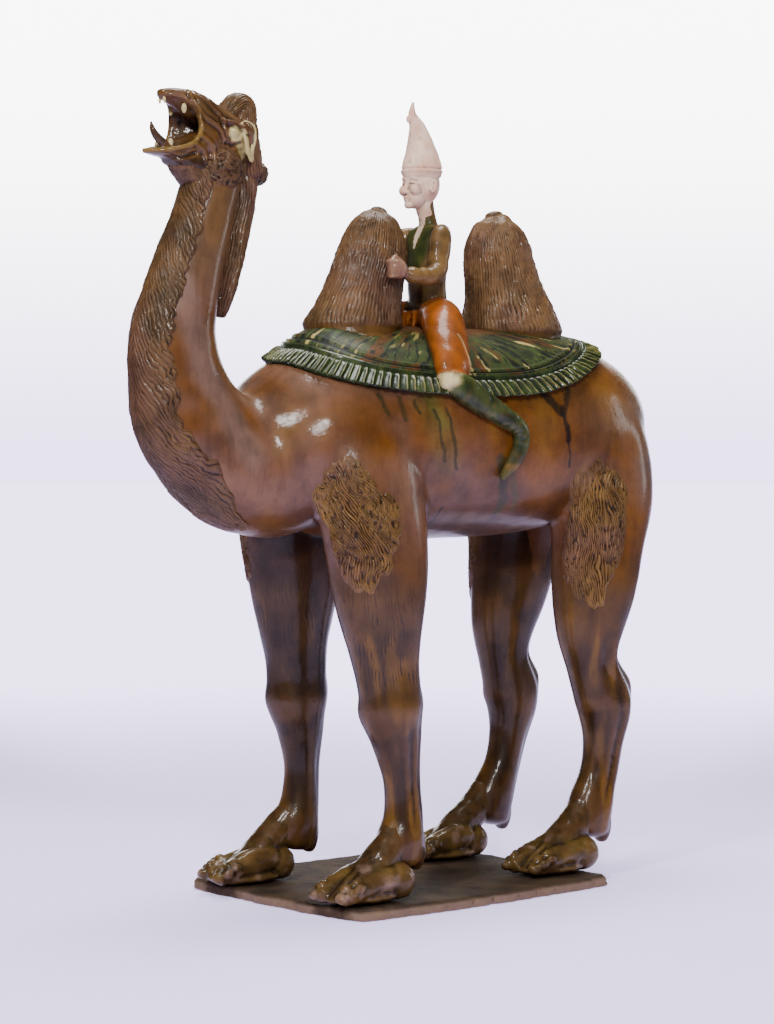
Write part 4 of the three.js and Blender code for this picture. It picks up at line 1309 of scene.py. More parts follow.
# %% The head: skull, jaw, brow, nose, lips, lids and ears
CHIN_Z, CROWN_Z = 716, 768
EYES_Z = (CHIN_Z + CROWN_Z) / 2
BROW_Z = EYES_Z + 5
NOSE_Z = (BROW_Z + CHIN_Z) / 2
MOUTH_Z = NOSE_Z - (NOSE_Z - CHIN_Z) / 3
EYE_OUT = 7.2
FACE_VOXEL = 0.76
BUST = [
    [43, 0, 694, 9, 10.5],
    [40, 0, 704, 8.6, 9],
    [35, 0, 716, 9.4, 9.4],
    [33, 0, 728, 11, 11],
]
NOSE = [
    [12.6, 0, BROW_Z - 1, 2.4, 2.2],
    [10, 0, EYES_Z - 2, 2.6, 2.3],
    [7.4, 0, NOSE_Z + 3, 3, 2.8],
]
UPPER_LIP = [
    [12, -5.4, MOUTH_Z + 0.5],
    [9.4, -2, MOUTH_Z + 1.5],
    [9.2, 0, MOUTH_Z + 1.1],
    [9.4, 2, MOUTH_Z + 1.5],
    [12, 5.4, MOUTH_Z + 0.5],
]
LOWER_LIP = [[12, -4.6, MOUTH_Z - 0.4], [9.5, 0, MOUTH_Z - 1.7], [12, 4.6, MOUTH_Z - 0.4]]
UPPER_LID = [[14.6, -11.6, EYES_Z - 0.3], [11.2, -EYE_OUT, EYES_Z + 2.0], [12.2, -3.4, EYES_Z - 0.2]]
LOWER_LID = [[14.6, -11.2, EYES_Z - 0.6], [11.6, -EYE_OUT, EYES_Z - 2.3], [12.2, -3.6, EYES_Z - 0.5]]
EYEBROW = [[16, -13, BROW_Z - 0.6], [12.0, -8, BROW_Z + 1.4], [11.6, -2.6, BROW_Z + 0.2]]
shells = [
    tube(BUST, 40, 40),
    lump(31, 0, 743, 21, 17.4, 23, 48, 30),
    lump(21, 0, CHIN_Z + 13.5, 12, 12.5, 13.5, 40, 24),
    lump(13.2, 0, CHIN_Z + 3.6, 5, 5.6, 4.2),
    tube(NOSE, 20, 20),
    lump(6.6, 0, NOSE_Z + 1.8, 3.0, 2.8, 2.6),
    rod(UPPER_LIP, [0.7, 1.3, 1.2, 1.3, 0.7]),
    rod(LOWER_LIP, [0.7, 1.6, 0.7]),
]
ear_turn = circle(40)[:, None]
ear_rim = [32, -18.6, EYES_Z - 2.5] + np.cos(ear_turn) * [2.9, -1.0, 0.6] + np.sin(ear_turn) * [0.8, 0, 6.2]
paired = [
    lump(14.5, -9.6, NOSE_Z + 4, 6, 5.6, 6),
    lump(15.0, -EYE_OUT, EYES_Z, 4.0, 4.3, 4.0),
    rod(UPPER_LID, [0.8, 1.1, 0.8]),
    rod(LOWER_LID, [0.6, 0.8, 0.6]),
    rod(EYEBROW, [1.0, 1.7, 1.4]),
    lump(9.2, -3.1, NOSE_Z + 1.2, 2.7, 1.9, 2.0),
    ring_bar(ear_rim, 1.25, 8),
    lump(32.4, -17.6, EYES_Z - 2.8, 2.4, 1.6, 5.6),
    lump(30.6, -18.2, EYES_Z - 7.6, 1.9, 1.4, 2.2),
]
shells += paired + [mirrored(part) for part in paired]
face = fused("rider_head", shells, FACE_VOXEL, 3)

# %% The tall hat: a brim band, a seam with stitches down the front, a knob and a thin tip
HAT = [
    [32, 0, 752, 21.5, 18.5], [31.5, 0, 756, 23, 20.5], [31, 0, 764, 22, 19.5],
    [29, 0, 784, 15.5, 14.5], [25, 0, 802, 9.5, 9], [18, 0, 816, 4.6, 4.6], [19, 0, 829, 1.4, 1.4],
]
STITCHES = [771, 775.5, 780, 784.5, 789]
HAT_SEAM_FROM = 760
HAT_KNOB = [13.5, 0, 811, 3.2, 3.0, 4.2]


def hat_relief(turn, t, z):
    """A groove above the brim, a raised seam at the front with short stitches, and uneven felt."""
    ahead = np.angle(np.exp(1j * (turn - np.pi)))
    size = np.clip((830 - z) / 70, 0.05, 1)
    seam = ridge(ahead, 0, 0.16)
    total = -1.1 * ridge(z, 758.5, 0.9) + 0.7 * ridge(z, 755.5, 1.8) + 0 * turn
    for place in STITCHES:
        total = total + 1.3 * ridge(z, place, 1.1) * ridge(ahead, -0.1, 0.30)
    flat = np.stack(np.broadcast_arrays(np.cos(turn) * 18, np.sin(turn) * 18, z), -1)
    total = total + 0.5 * seam * (z > HAT_SEAM_FROM)
    return (total + 0.45 * noise(flat, 8, 221) + 0.2 * noise(flat, 3, 222)) * size


hat = modelled("rider_hat", together([tube(HAT, 100, 115, hat_relief), lump(*HAT_KNOB)]))

# %% [markdown]
# ## Slab
# The camel stands on a slab that was cut out of a rolled sheet of clay while it was soft. It was never
# glazed, its edges were trimmed by hand, and corners have chipped since. Its outline is four bowed
# edges. The surface is rings from the middle out, over the rounded edge and back underneath.

# %% Slab
SLAB_MARGINS = {"left": 46, "right": 64, "front": 40, "rear": 36}
SLAB_SIDES, SLAB_RINGS = 420, 26
slab_low, slab_high = (np.array(corner) * 1000 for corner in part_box("base_slab"))
SLAB_THICK = slab_high[2] - slab_low[2]
half_width = FOREFOOT[1]
fore_step, hind_step = STRIDE["fore"][0] / 2, STRIDE["hind"][0] / 2
near, far = -half_width - SLAB_MARGINS["left"], half_width + SLAB_MARGINS["right"]
corners = np.array([
    [FOREFOOT[0] + fore_step - SLAB_MARGINS["front"], near],
    [HINDFOOT[0] + hind_step + SLAB_MARGINS["rear"], near],
    [HINDFOOT[0] - hind_step + SLAB_MARGINS["rear"], far],
    [FOREFOOT[0] - fore_step - SLAB_MARGINS["front"], far],
], float)
BOW, CORNER_ROUNDS = 8, 16
# The edge's section, from the top face round to the underside: inset from the rim, and share of the height.
EDGE = np.array([
    [3.2, 1.0], [1.4, 0.95], [0.4, 0.84], [0.0, 0.66], [0.5, 0.45], [0.2, 0.25], [1.2, 0.08], [3.0, 0.0],
])
# Chips in the upper edge: where along the outline from 0 to 4, how wide, and how deep in millimetres.
CHIPS = [
    [0.04, 0.05, 4.0], [0.22, 0.03, 2.5], [0.42, 0.035, 2.5], [0.71, 0.04, 2.0], [0.97, 0.06, 4.5],
    [1.55, 0.05, 3.0], [2.0, 0.05, 3.5], [3.1, 0.06, 3.5], [3.62, 0.05, 3.0], [3.93, 0.04, 3.5],
]


def slab():
    """A quadratic curve bows out between each two corners: its middle point is pushed off by the bow.
    Rounds of averaging soften the corners, and noise and chips bite into the edge."""
    centre = corners.mean(0)
    inset, height = EDGE[:, :1], EDGE[:, 1:]
    place = np.linspace(0, 4, SLAB_SIDES, endpoint=False)
    number, f = place.astype(int) % 4, (place % 1)[:, None]
    first, second = corners[number], corners[(number + 1) % 4]
    middle = (first + second) / 2
    pulled = middle + unit(middle - centre) * BOW * 2
    rim = (1 - f) ** 2 * first + 2 * f * (1 - f) * pulled + f ** 2 * second
    for _ in range(CORNER_ROUNDS):
        rim = (np.roll(rim, 1, 0) + 2 * rim + np.roll(rim, -1, 0)) / 4
    out = unit(rim - centre)
    ragged = 1.8 * noise(rim, 24, 231) + 1.4 * noise(rim, 9, 232) + 0.6 * noise(rim, 3, 233) - 2.0
    rim = rim + out * ragged[:, None]
    chip = sum(deep * ridge(place, where, wide) for where, wide, deep in CHIPS)
    share = np.linspace(0, 1, SLAB_RINGS + 1)[1:, None] ** 0.8
    inner = rim - out * (inset[0] + chip[:, None])
    top = centre + (inner - centre) * share[..., None]
    uneven = 0.45 * noise(top, 30, 234) + 0.3 * noise(top, 9, 235) + 0.12 * noise(top, 3.5, 236) - 0.6
    top = np.concatenate([top, (SLAB_THICK + uneven)[..., None]], -1)
    bite = chip[None, :] * np.clip(height * 1.6 - 0.4, 0, 1)
    spots = np.stack(np.broadcast_arrays(rim[:, 0], rim[:, 1], height * 12), -1)
    cut = inset + bite + 0.7 * noise(spots, 5, 237) + 0.5
    side = rim[None] - out[None] * cut[..., None]
    high = height * (SLAB_THICK - 0.5) - 0.35 * bite
    side = np.concatenate([side, high[..., None]], -1)[1:]
    under = centre + (side[-1, :, :2] - centre) * np.array([0.7, 0.35])[:, None, None]
    under = np.concatenate([under, np.full(under.shape[:2] + (1,), 0.0)], -1)
    grid = np.concatenate([top, side, under])
    points, *faces = shell(grid, [*centre, SLAB_THICK - 0.6], [*centre, 0.0])
    return put("slab", points / 1000, *faces)


slab_piece = slab()

# %% [markdown]
# ## Colours of the glazes
# Three lead glazes make the look: amber from iron, green from copper, and a clear one that shows the pale
# clay as cream. They were dabbed on and ran into each other in the kiln. The broad areas are worked out
# here as one colour per point, and the materials add runs and fine mottling.


# %% Colour helpers
def shade(code):
    """A colour written as six hex digits, as linear red, green and blue."""
    value = np.array([int(code[k:k + 2], 16) for k in (0, 2, 4)]) / 255
    return np.where(value <= 0.04045, value / 12.92, ((value + 0.055) / 1.055) ** 2.4)


def toward(base, other, share):
    """Colours moved towards another one by a share at each point."""
    return base + (other - base) * np.clip(share, 0, 1)[:, None]


def mottled(at, first, second, size, seed, half=0.5, strength=0.8):
    """Two colours in patches of a size: the share of the second is a half, more or less by the noise."""
    return toward(shade(first)[None], shade(second), half + strength * noise(at, size, seed))


def above(value, low, high):
    """A smooth step from 0 at low to 1 at high: 3f2 - 2f3."""
    f = np.clip((value - low) / (high - low), 0, 1)
    return f * f * (3 - 2 * f)


def below(value, low, high):
    """A smooth step the other way, from 1 at low to 0 at high."""
    return 1 - above(value, low, high)


def off_line(points, start, end):
    """Distance of points from a straight line between two places, all in x and z."""
    start, end = np.array(start, float), np.array(end, float)
    along = np.clip(((points - start) @ (end - start)) / ((end - start) @ (end - start)), 0, 1)
    return np.linalg.norm(points - start - along[:, None] * (end - start), axis=1)


# %% Paint a piece, and find where its glaze pools
def coloured(piece, tint):
    """Paints a piece with the tint that its glaze or clay starts from."""
    paint(piece.data, "tint", tint)
    print(f"{piece.name}: mean tint", tint.mean(0).round(3))


def pooled_in(piece, rounds, depth, share=1.0):
    """Stores where glaze pools, from 1 in a hollow to -1 on a ridge: how hollow the surface is in
    millimetres, times a depth and a share."""
    hollows = hollow(piece.data, rounds) / MM * depth * share
    give(piece.data, "groove", np.clip(hollows, -1, 1))


AMBER, BROWN, DEEP = "70430f", "4f2c0d", shade("241206")
OCHRE, MAUVE = shade("80591c"), shade("674839")
CREAM, BLACK = "e3cf96", shade("120d08")
PALE_CLAY, PINK_CLAY = "ecccb2", "dba98c"


# %% Colours of the body
LEG_OLIVE, NECK_TOP, NECK_SHEEN = shade("4a3a1c"), shade("54402a"), shade("735b50")
FAR_LEG_SHADE = shade("0e0603")
# A line behind the mane, in x and z, along which a pale strip is painted as a reflection on the side of the
# neck.
SHEEN_LINE = [(-298, 620), (-276, 535), (-226, 452)]
KNEE_HEIGHT = 220


def body_colours(at, normal):
    """Amber mottled with brown, darker down the legs, with runs over it. Mauve is partly pooled glaze and
    partly a painted lavender sheen. Painted shade darkens the belly's underside and the far legs, and a
    painted reflection lies as a pale strip down the neck.
    """
    x, y, z = at.T
    tall = at * [1, 1, 0.42]
    tint = mottled(tall, AMBER, BROWN, 58, 301, strength=0.75)
    # Mauve patches, most towards the front: partly glaze that pooled, partly a painted lavender sheen on neck
    # and shoulders.
    pooled_and_sheen = noise(at, 70, 302) + 0.3 * noise(at, 21, 303) + 0.35 * below(x, -160, 80)
    tint = toward(tint, MAUVE, 0.8 * above(pooled_and_sheen, 0.0, 0.75) * above(z, 300, 400))
    tint = toward(tint, OCHRE, 0.5 * above(noise(tall, 34, 304), 0.2, 0.8))
    tint = toward(tint, LEG_OLIVE, 0.6 * below(z, 300, 360))
    tint = toward(tint, DEEP, 0.75 * below(z, 220, 430) * (0.75 + 0.25 * noise(tall, 24, 305)))
    # Painted shade: where the surface faces down above the legs, the belly's underside is darkened.
    tint = toward(tint, DEEP, 0.55 * below(normal[:, 2], -0.95, -0.35) * above(z, 280, 330))
    streak = noise(at * [1, 1, 0.12], 9, 310) * below(z, 250, 330)
    tint = toward(tint, DEEP, 0.55 * above(streak, 0.05, 0.55))
    tint = toward(tint, OCHRE, 0.35 * below(streak, -0.6, -0.15))
    tint = toward(tint, NECK_TOP, 0.7 * above(z + 8 * noise(at, 20, 319), 590, 650))
    # Painted reflection: a pale strip down the neck behind the mane.
    flat = at[:, [0, 2]] + 5 * np.stack([noise(at, 24, 317), noise(at, 19, 318)], -1)
    sheen = np.minimum(off_line(flat, *SHEEN_LINE[:2]), off_line(flat, *SHEEN_LINE[1:]))
    tint = toward(tint, NECK_SHEEN, 0.7 * below(sheen, 6, 24) * below(x, -235, -205))
    # Painted shade: the far legs' sides that face the near legs turn nearly black under the belly, most high
    # up.
    inner = below(normal[:, 1], -0.4, 0.3) * (y > 25) * (0.35 + 0.65 * above(z, 270, 400))
    return toward(tint, FAR_LEG_SHADE, 0.97 * inner * below(z, 370, 420))


coloured(body, body_colours(drawn(body), normals_of(body.data)))
pooled_in(body, 1, 11, 1 - 0.75 * ridge(drawn(body)[:, 2], KNEE_HEIGHT, 26))


# %% Colours of the feet
FOOT_PINK_AND_GLINT, FOOT_TOP, SOLE_SHADOW = shade("8f7362"), shade("38260f"), shade("120b06")


def foot_colours(at):
    """Ochre and olive, paler than the legs, with pink patches that are partly thin glaze over pink clay and
    partly painted pinkish highlights, and a painted shadow along the sole.
    """
    tint = mottled(at, "604a22", "402f16", 15, 306)
    # Pink patches by noise: partly thin glaze over pink clay, partly painted pinkish highlights.
    tint = toward(tint, FOOT_PINK_AND_GLINT, 0.6 * above(noise(at, 12, 307) + 0.4 * noise(at, 4, 308), 0.25, 0.8))
    tint = toward(tint, FOOT_TOP, 0.85 * above(at[:, 2] + 4 * noise(at, 12, 320), 28, 46))
    # Painted shadow: the lowest few millimetres of each foot, where it meets the slab, are made nearly black.
    return toward(tint, SOLE_SHADOW, 0.9 * below(at[:, 2] + 1.5 * noise(at, 8, 309), 1.5, 4.5))


coloured(feet, foot_colours(drawn(feet)))
pooled_in(feet, 2, 12)

# %% Colours of the head
DRIP, EYE_CREAM, MOUTH_RED = shade("a99c62"), shade("cbb87c"), shade("2f150d")
LIP_GOLD, TUSK_BROWN = shade("86682a"), shade("33251a")
# Middle and half-sizes of the left eye and of the mouth's dark inside.
EYE, MOUTH_INSIDE = ([-231, -28, 773], [9, 12, 9]), ([-258, 0, 777], [22, 16, 22])
# The upper lid's line in x and z, and the drip of pale glaze below the eye.
LID_LINE, DRIP_LINE = [(-243, 785), (-230, 783), (-217, 776)], [(-229, 768), (-221, 752)]


def egg_distance(at, egg):
    """Distance from an egg's middle, counted in its half-sizes: 1 on its surface."""
    middle, half = egg
    return np.linalg.norm((at - middle) / half, axis=1)


def head_colours(at):
    """Brown and mauve, gold on the lips, cream on the eye and the ear's rim, dark in the mouth, and a painted
    shadow on the chin under the lower lip.
    """
    x, y, z = at.T
    tint = mottled(at, "5f421c", "44290f", 18, 311, strength=0.6)
    tint = toward(tint, MAUVE, 0.6 * above(noise(at, 16, 315), -0.3, 0.6))
    flat = at[:, [0, 2]]
    outside = np.abs(y) > 19
    eye = egg_distance(folded(at), EYE) + 0.10 * noise(at, 6, 313)
    rim = to_places(folded(at), loop_through(EAR, 50))
    drip = off_line(flat, *DRIP_LINE) + 1.5 * noise(at, 5, 316)
    tint = toward(tint, DRIP, 0.6 * below(drip, 2.5, 5.0) * outside)
    pale = np.maximum(below(eye, 0.75, 1.05), below(rim, 2.0, 3.2))
    tint = toward(tint, EYE_CREAM, 0.9 * pale * outside)
    lid = np.minimum(off_line(flat, *LID_LINE[:2]), off_line(flat, *LID_LINE[1:]))
    tint = toward(tint, shade(BROWN), 0.9 * below(lid, 1.8, 3.0) * outside * (rim > 2.2))
    tint = toward(tint, MOUTH_RED, 0.8 * below(egg_distance(at, MOUTH_INSIDE), 0.5, 1.1))
    tint = toward(tint, LIP_GOLD, 0.75 * below(to_places(at, lips), 1.8, 3.4) * below(z, 770, 790))
    tusk = to_places(at, spline(TUSK, np.linspace(0.3, 1, 16)))
    tint = toward(tint, TUSK_BROWN, 0.9 * below(tusk, 4.0, 6.0))
    # Painted shadow: the chin under the lower lip is darkened.
    return toward(tint, DEEP, 0.8 * below(z, 744, 749) * below(x, -262, -250))


coloured(head, head_colours(drawn(head)))
pooled_in(head, 1, 8)
coloured(teeth, toward(shade(CREAM)[None], OCHRE, 0.3 + 0.5 * noise(drawn(teeth), 5, 314)))
give(teeth.data, "groove", np.zeros(len(teeth.data.vertices)))


# %% Colours of hair, humps, cloth and fringe
HAIR_TONES, TUFT_TONES = ("4f3a24", "66492c"), ("5a3e1e", "74552a")
REAR_HUMP_TONES, LEDGE = ("644a30", "7d5c3a"), shade("5c3f1c")
HAIR = [mane_piece, *patches, crest, nape, beard, tail, *cheek_curls, knob]


def hair_colours(at, seed, tones=HAIR_TONES, bare=None):
    """Two browns in patches, and smooth amber below the height where the hair begins."""
    tint = mottled(at, *tones, 26, seed)
    tint = toward(tint, MAUVE, 0.6 * above(noise(at, 40, seed + 1), -0.2, 0.6))
    if bare is not None:
        tint = toward(tint, LEDGE, below(at[:, 2], bare - 2, bare + 3))
    return tint


for number, piece in enumerate(HAIR):
    if piece in patches:
        coloured(piece, hair_colours(drawn(piece), 330 + 2 * patches.index(piece), TUFT_TONES))
    else:
        coloured(piece, hair_colours(drawn(piece), 320 + 2 * number))
for piece, tones in ((front_hump, HAIR_TONES), (rear_hump, REAR_HUMP_TONES)):
    coloured(piece, hair_colours(drawn(piece), 350, tones, HAIR_FOOT))
for piece in (cloth_piece, fringe_piece):
    at = drawn(piece)
    green = mottled(at, "1f2a10", "3a3c1a", 14, 361, strength=0.7)
    coloured(piece, toward(green, shade("573c12"), 0.6 * above(noise(at, 22, 362), 0.3, 0.8)))


# %% Colours of the rider
SKIRT_AMBER, SKIRT_BROWN, HAND = shade("8f4a12"), shade("5f3010"), shade("8a6553")


def rider_colours(at):
    """A brown coat with green lapels, an amber skirt with a cream hem, and green boots, cream at the knee."""
    tint = mottled(at, "705430", "4c3920", 14, 371)
    tint = toward(tint, MAUVE, 0.4 * above(noise(at, 20, 372), 0.1, 0.8))
    tint = toward(tint, SKIRT_AMBER, 1.0 * skirt)
    tint = toward(tint, SKIRT_BROWN, 0.6 * skirt * above(noise(at * [1, 1, 0.4], 15, 373), 0.0, 0.7))
    green = mottled(at, "3e4a20", "1e2a13", 10, 374)
    ankle = on_boot * ridge(boot_share, 0.86, 0.05)
    green = toward(green, OCHRE, 0.7 * ankle * above(noise(at, 8, 375), -0.3, 0.4))
    tint = np.where(on_boot[:, None], green, tint)
    knee = below(boot_share + 0.03 * noise(at, 8, 376), 0.08, 0.15)
    tint = toward(tint, shade(CREAM), 0.9 * on_boot * knee)
    hem = np.maximum(ridge(thigh_share, 0.95, 0.03) * on_thigh, 0.6 * seam)
    tint = toward(tint, shade(CREAM), 0.7 * skirt * hem)
    tint = toward(tint, green, 0.9 * lapel)
    tint = toward(tint, shade(PALE_CLAY), 0.95 * shirt)
    tint = toward(tint, HAND, 0.85 * on_hand)
    return toward(tint, BLACK, 0.5 * on_torso * ridge(at[:, 2], WAIST, 2.2))


coloured(rider, rider_colours(drawn(rider)))
pooled_in(rider, 2, 10)
lightened(rider, RIDER_TRIANGLES)


# %% Colours of the bare clay
CLAY_TAN, LINE_BROWN, LIP_RED = shade("b98a6a"), shade("4a352a"), shade("a8604c")
DAMP, EDGE_CLAY, STAIN = shade("2e251d"), shade("836c58"), shade("25150a")
FOOT_STAIN = [62, 42]


def clay_colours(at):
    """Pale and pink clay in clouds, with a little tan."""
    tint = mottled(at, PALE_CLAY, PINK_CLAY, 9, 384, 0.45, 0.7)
    return toward(tint, CLAY_TAN, 0.45 * above(noise(at, 5, 385), 0.3, 0.9))


def face_colours(at):
    """The clay, a thin line between the lids and a little red on the lips."""
    x, y, z = at.T
    ahead = at[:, [1, 2]]
    slit = np.minimum(
        off_line(ahead, (-EYE_OUT - 3, EYES_Z - 0.3), (-EYE_OUT + 3, EYES_Z - 0.1)),
        off_line(ahead, (EYE_OUT - 3, EYES_Z - 0.1), (EYE_OUT + 3, EYES_Z - 0.3)))
    tint = toward(clay_colours(at), LINE_BROWN, 0.75 * below(slit, 0.5, 1.3) * (x < 18))
    return toward(tint, LIP_RED, 0.35 * ridge(z, MOUTH_Z, 1.6) * (np.abs(y) < 5) * (x < 14))


def slab_colours(at):
    """Grey-brown clay, paler on the cut edge, with brown stains where glaze ran off the feet."""
    tint = mottled(at, "3a2e24", "4f3e2e", 24, 381)
    tint = toward(tint, DAMP, 0.6 * above(noise(at, 12, 382), 0.2, 0.8))
    tint = toward(tint, EDGE_CLAY, 0.8 * below(at[:, 2], -5.0, -2.0))
    for side in (LEFT, RIGHT):
        for (x, y), which in ((FOREFOOT, "fore"), (HINDFOOT, "hind")):
            middle = [x + stride_at(0, side, which), side * y]
            away = np.linalg.norm((at[:, :2] - middle) / FOOT_STAIN, axis=1)
            tint = toward(tint, STAIN, 0.75 * below(away + 0.15 * noise(at, 12, 383), 0.75, 1.0))
    return tint


BARE = [(face, face_colours, 16), (hat, clay_colours, 16), (slab_piece, slab_colours, 8)]
for piece, colours, depth in BARE:
    coloured(piece, colours(drawn(piece)))
    pooled_in(piece, 1, depth)

# %% [markdown]
# ## Materials
# A lead glaze is a thick glass coat over clay. Cycles' Principled shader gives that with a coat on top of
# a coloured base. The base colour starts from the painted tint. Clouds and runs of noise vary it, grooves
# where glaze pooled are dark, and ridges where it ran thin are pale.


# %% Node helpers
def grey(value):
    """A grey as a colour with its alpha."""
    return (value, value, value, 1)


def ink(code):
    """Six hex digits as a colour with its alpha."""
    return (*shade(code), 1)


def add(tree, kind, inputs=None, **settings):
    """A new node: its options are set, and each input is joined to a socket or set to a value."""
    node = tree.nodes.new("ShaderNode" + kind)
    for key, value in settings.items():
        setattr(node, key, value)
    for key, value in (inputs or {}).items():
        if isinstance(value, bpy.types.NodeSocket):
            tree.links.new(value, node.inputs[key])
        else:
            node.inputs[key].default_value = value
    return node


def blend(tree, share, first, second, how="MIX"):
    """Mixes two colours by a share."""
    node = add(tree, "Mix", {0: share, 6: first, 7: second}, data_type="RGBA", blend_type=how)
    return node.outputs[2]


def stretch(tree, value, low, high, new_low=0.0, new_high=1.0):
    """Carries a value from one range to another, smoothly and without going past its ends."""
    inputs = {"Value": value, 1: low, 2: high, 3: new_low, 4: new_high}
    return add(tree, "MapRange", inputs, interpolation_type="SMOOTHSTEP").outputs[0]


def maths(tree, how, first, second=0.0, **settings):
    """One step of arithmetic on numbers."""
    return add(tree, "Math", {0: first, 1: second}, operation=how, **settings).outputs[0]


def dimmed(tree, share, tint, level):
    """Darkens a colour by a share: where the share is 1, the colour is multiplied by the level."""
    return blend(tree, share, tint, blend(tree, 1.0, tint, grey(level), "MULTIPLY"))


def attribute(tree, name):
    """An attribute of the mesh: its colour and its number."""
    node = add(tree, "Attribute", attribute_name=name)
    return node.outputs["Color"], node.outputs["Fac"]


def cloud(tree, place, scale, detail=3.0, rough=0.55, distort=0.0):
    """Noise from 0 to 1 at a scale in lumps per metre."""
    inputs = {"Vector": place, "Scale": scale, "Detail": detail, "Roughness": rough, "Distortion": distort}
    return add(tree, "TexNoise", inputs).outputs["Fac"]


# %% An empty material and its settings
def new_material(name):
    """An empty material, its tree, its Principled shader and the object's own coordinates."""
    material = bpy.data.materials.new(name)
    material.use_nodes = True
    tree = material.node_tree
    tree.nodes.clear()
    shader = add(tree, "BsdfPrincipled")
    out = add(tree, "OutputMaterial")
    tree.links.new(shader.outputs[0], out.inputs["Surface"])
    place = add(tree, "TexCoord").outputs["Object"]
    return material, tree, shader, place


def settle(shader, **values):
    """Sets inputs of the shader that are the same all over: a lower dash in a name stands for a blank."""
    for name, value in values.items():
        shader.inputs[name.replace("_", " ")].default_value = value


# %% Glaze material
def glaze(name, pooled, thin, pool_share, thin_share, coat, rough=(0.35, 0.55), bump=0.25, cover=None):
    """A glaze over the painted tint. Pooled is its colour in grooves and thin its colour on ridges.
    Cover changes the colour before that, for a piece with a pattern of its own."""
    material, tree, shader, place = new_material(name)
    tint, _ = attribute(tree, "tint")
    _, groove = attribute(tree, "groove")
    if cover:
        tint = cover(tree, place, tint)
    tall = add(tree, "Mapping", {"Vector": place, "Scale": (1.0, 1.0, 0.22)}).outputs[0]
    clouds = cloud(tree, place, 26, 5, 0.6)
    streaks = cloud(tree, tall, 90, 4, 0.6, 0.4)
    tint = dimmed(tree, stretch(tree, clouds, 0.35, 0.70), tint, 0.62)
    tint = dimmed(tree, stretch(tree, streaks, 0.40, 0.72, 0.0, 0.8), tint, 0.70)
    pale = blend(tree, 1.0, tint, ink(thin), "SCREEN")
    tint = blend(tree, stretch(tree, cloud(tree, tall, 150, 3), 0.55, 0.8, 0.0, 0.25), tint, pale)
    tint = blend(tree, stretch(tree, groove, 0.15, 1.0, 0.0, pool_share), tint, ink(pooled))
    tint = blend(tree, stretch(tree, groove, -0.05, -0.8, 0.0, thin_share), tint, pale)
    specks = cloud(tree, place, 620, 2, 0.5)
    tint = blend(tree, stretch(tree, specks, 0.70, 0.80, 0.0, 0.55), tint, ink("1d120b"))
    tree.links.new(tint, shader.inputs["Base Color"])
    tree.links.new(stretch(tree, clouds, 0.3, 0.75, *rough), shader.inputs["Roughness"])
    ripple = maths(tree, "ADD", cloud(tree, place, 70, 3), cloud(tree, place, 300, 4))
    bumped = add(tree, "Bump", {"Height": ripple, "Strength": bump, "Distance": 0.0009})
    tree.links.new(bumped.outputs[0], shader.inputs["Normal"])
    tree.links.new(bumped.outputs[0], shader.inputs["Coat Normal"])
    settle(shader, IOR=1.45, Specular_IOR_Level=0.15, Coat_Weight=coat, Coat_Roughness=0.07, Coat_IOR=1.5)
    return material


# %% [markdown]
# ## Runs of glaze and combed lines
# Green glaze ran down from the cloth and the boots while the kiln was hot. Painted points are too coarse
# for such thin lines, so the shader works them out: each run is dark where it is near a straight line.

# %% Runs of glaze on the body
# Top and bottom in x and z, width, colour, how strong, and on which side.
RUNS = [
    [(-52, 512), (-24, 448), 40.0, "5a5428", 0.35, LEFT],
    [(-47, 512), (-34, 484), 17.0, "575a26", 0.5, LEFT],
    [(-43, 500), (-30, 446), 4.4, "20281a", 0.75, LEFT],
    [(-27, 500), (-13, 437), 4.8, "20281a", 0.75, LEFT],
    [(-104, 512), (-99, 494), 6.0, "1d2611", 0.8, LEFT],
    [(-84, 510), (-80, 488), 7.0, "1d2611", 0.7, LEFT],
    [(-66, 508), (-62, 496), 5.0, "1d2611", 0.8, LEFT],
    [(46, 448), (70, 394), 13.0, "2c3622", 0.75, LEFT],
    [(62, 438), (88, 396), 9.0, "3f4128", 0.6, LEFT],
    [(104, 524), (128, 498), 11.0, "12140b", 0.85, LEFT],
    [(146, 522), (132, 498), 8.0, "12140b", 0.85, LEFT],
    [(130, 502), (137, 468), 7.5, "0d0a07", 0.9, LEFT],
    [(137, 470), (143, 440), 3.0, "0d0a07", 0.9, LEFT],
    [(-11, 399), (-12, 371), 3.0, "0a0604", 0.9, LEFT],
    [(-38, 500), (-30, 452), 6.0, "141d0e", 0.8, RIGHT],
    [(46, 450), (62, 396), 13.0, "1a2411", 0.8, RIGHT],
    [(150, 515), (160, 450), 11.0, "3a3616", 0.8, RIGHT],
    [(-100, 505), (-92, 462), 7.0, "3a3616", 0.8, RIGHT],
]


def vector(tree, how, first, second, output="Vector"):
    """One step of vector arithmetic."""
    return add(tree, "VectorMath", {0: first, 1: second}, operation=how).outputs[output]


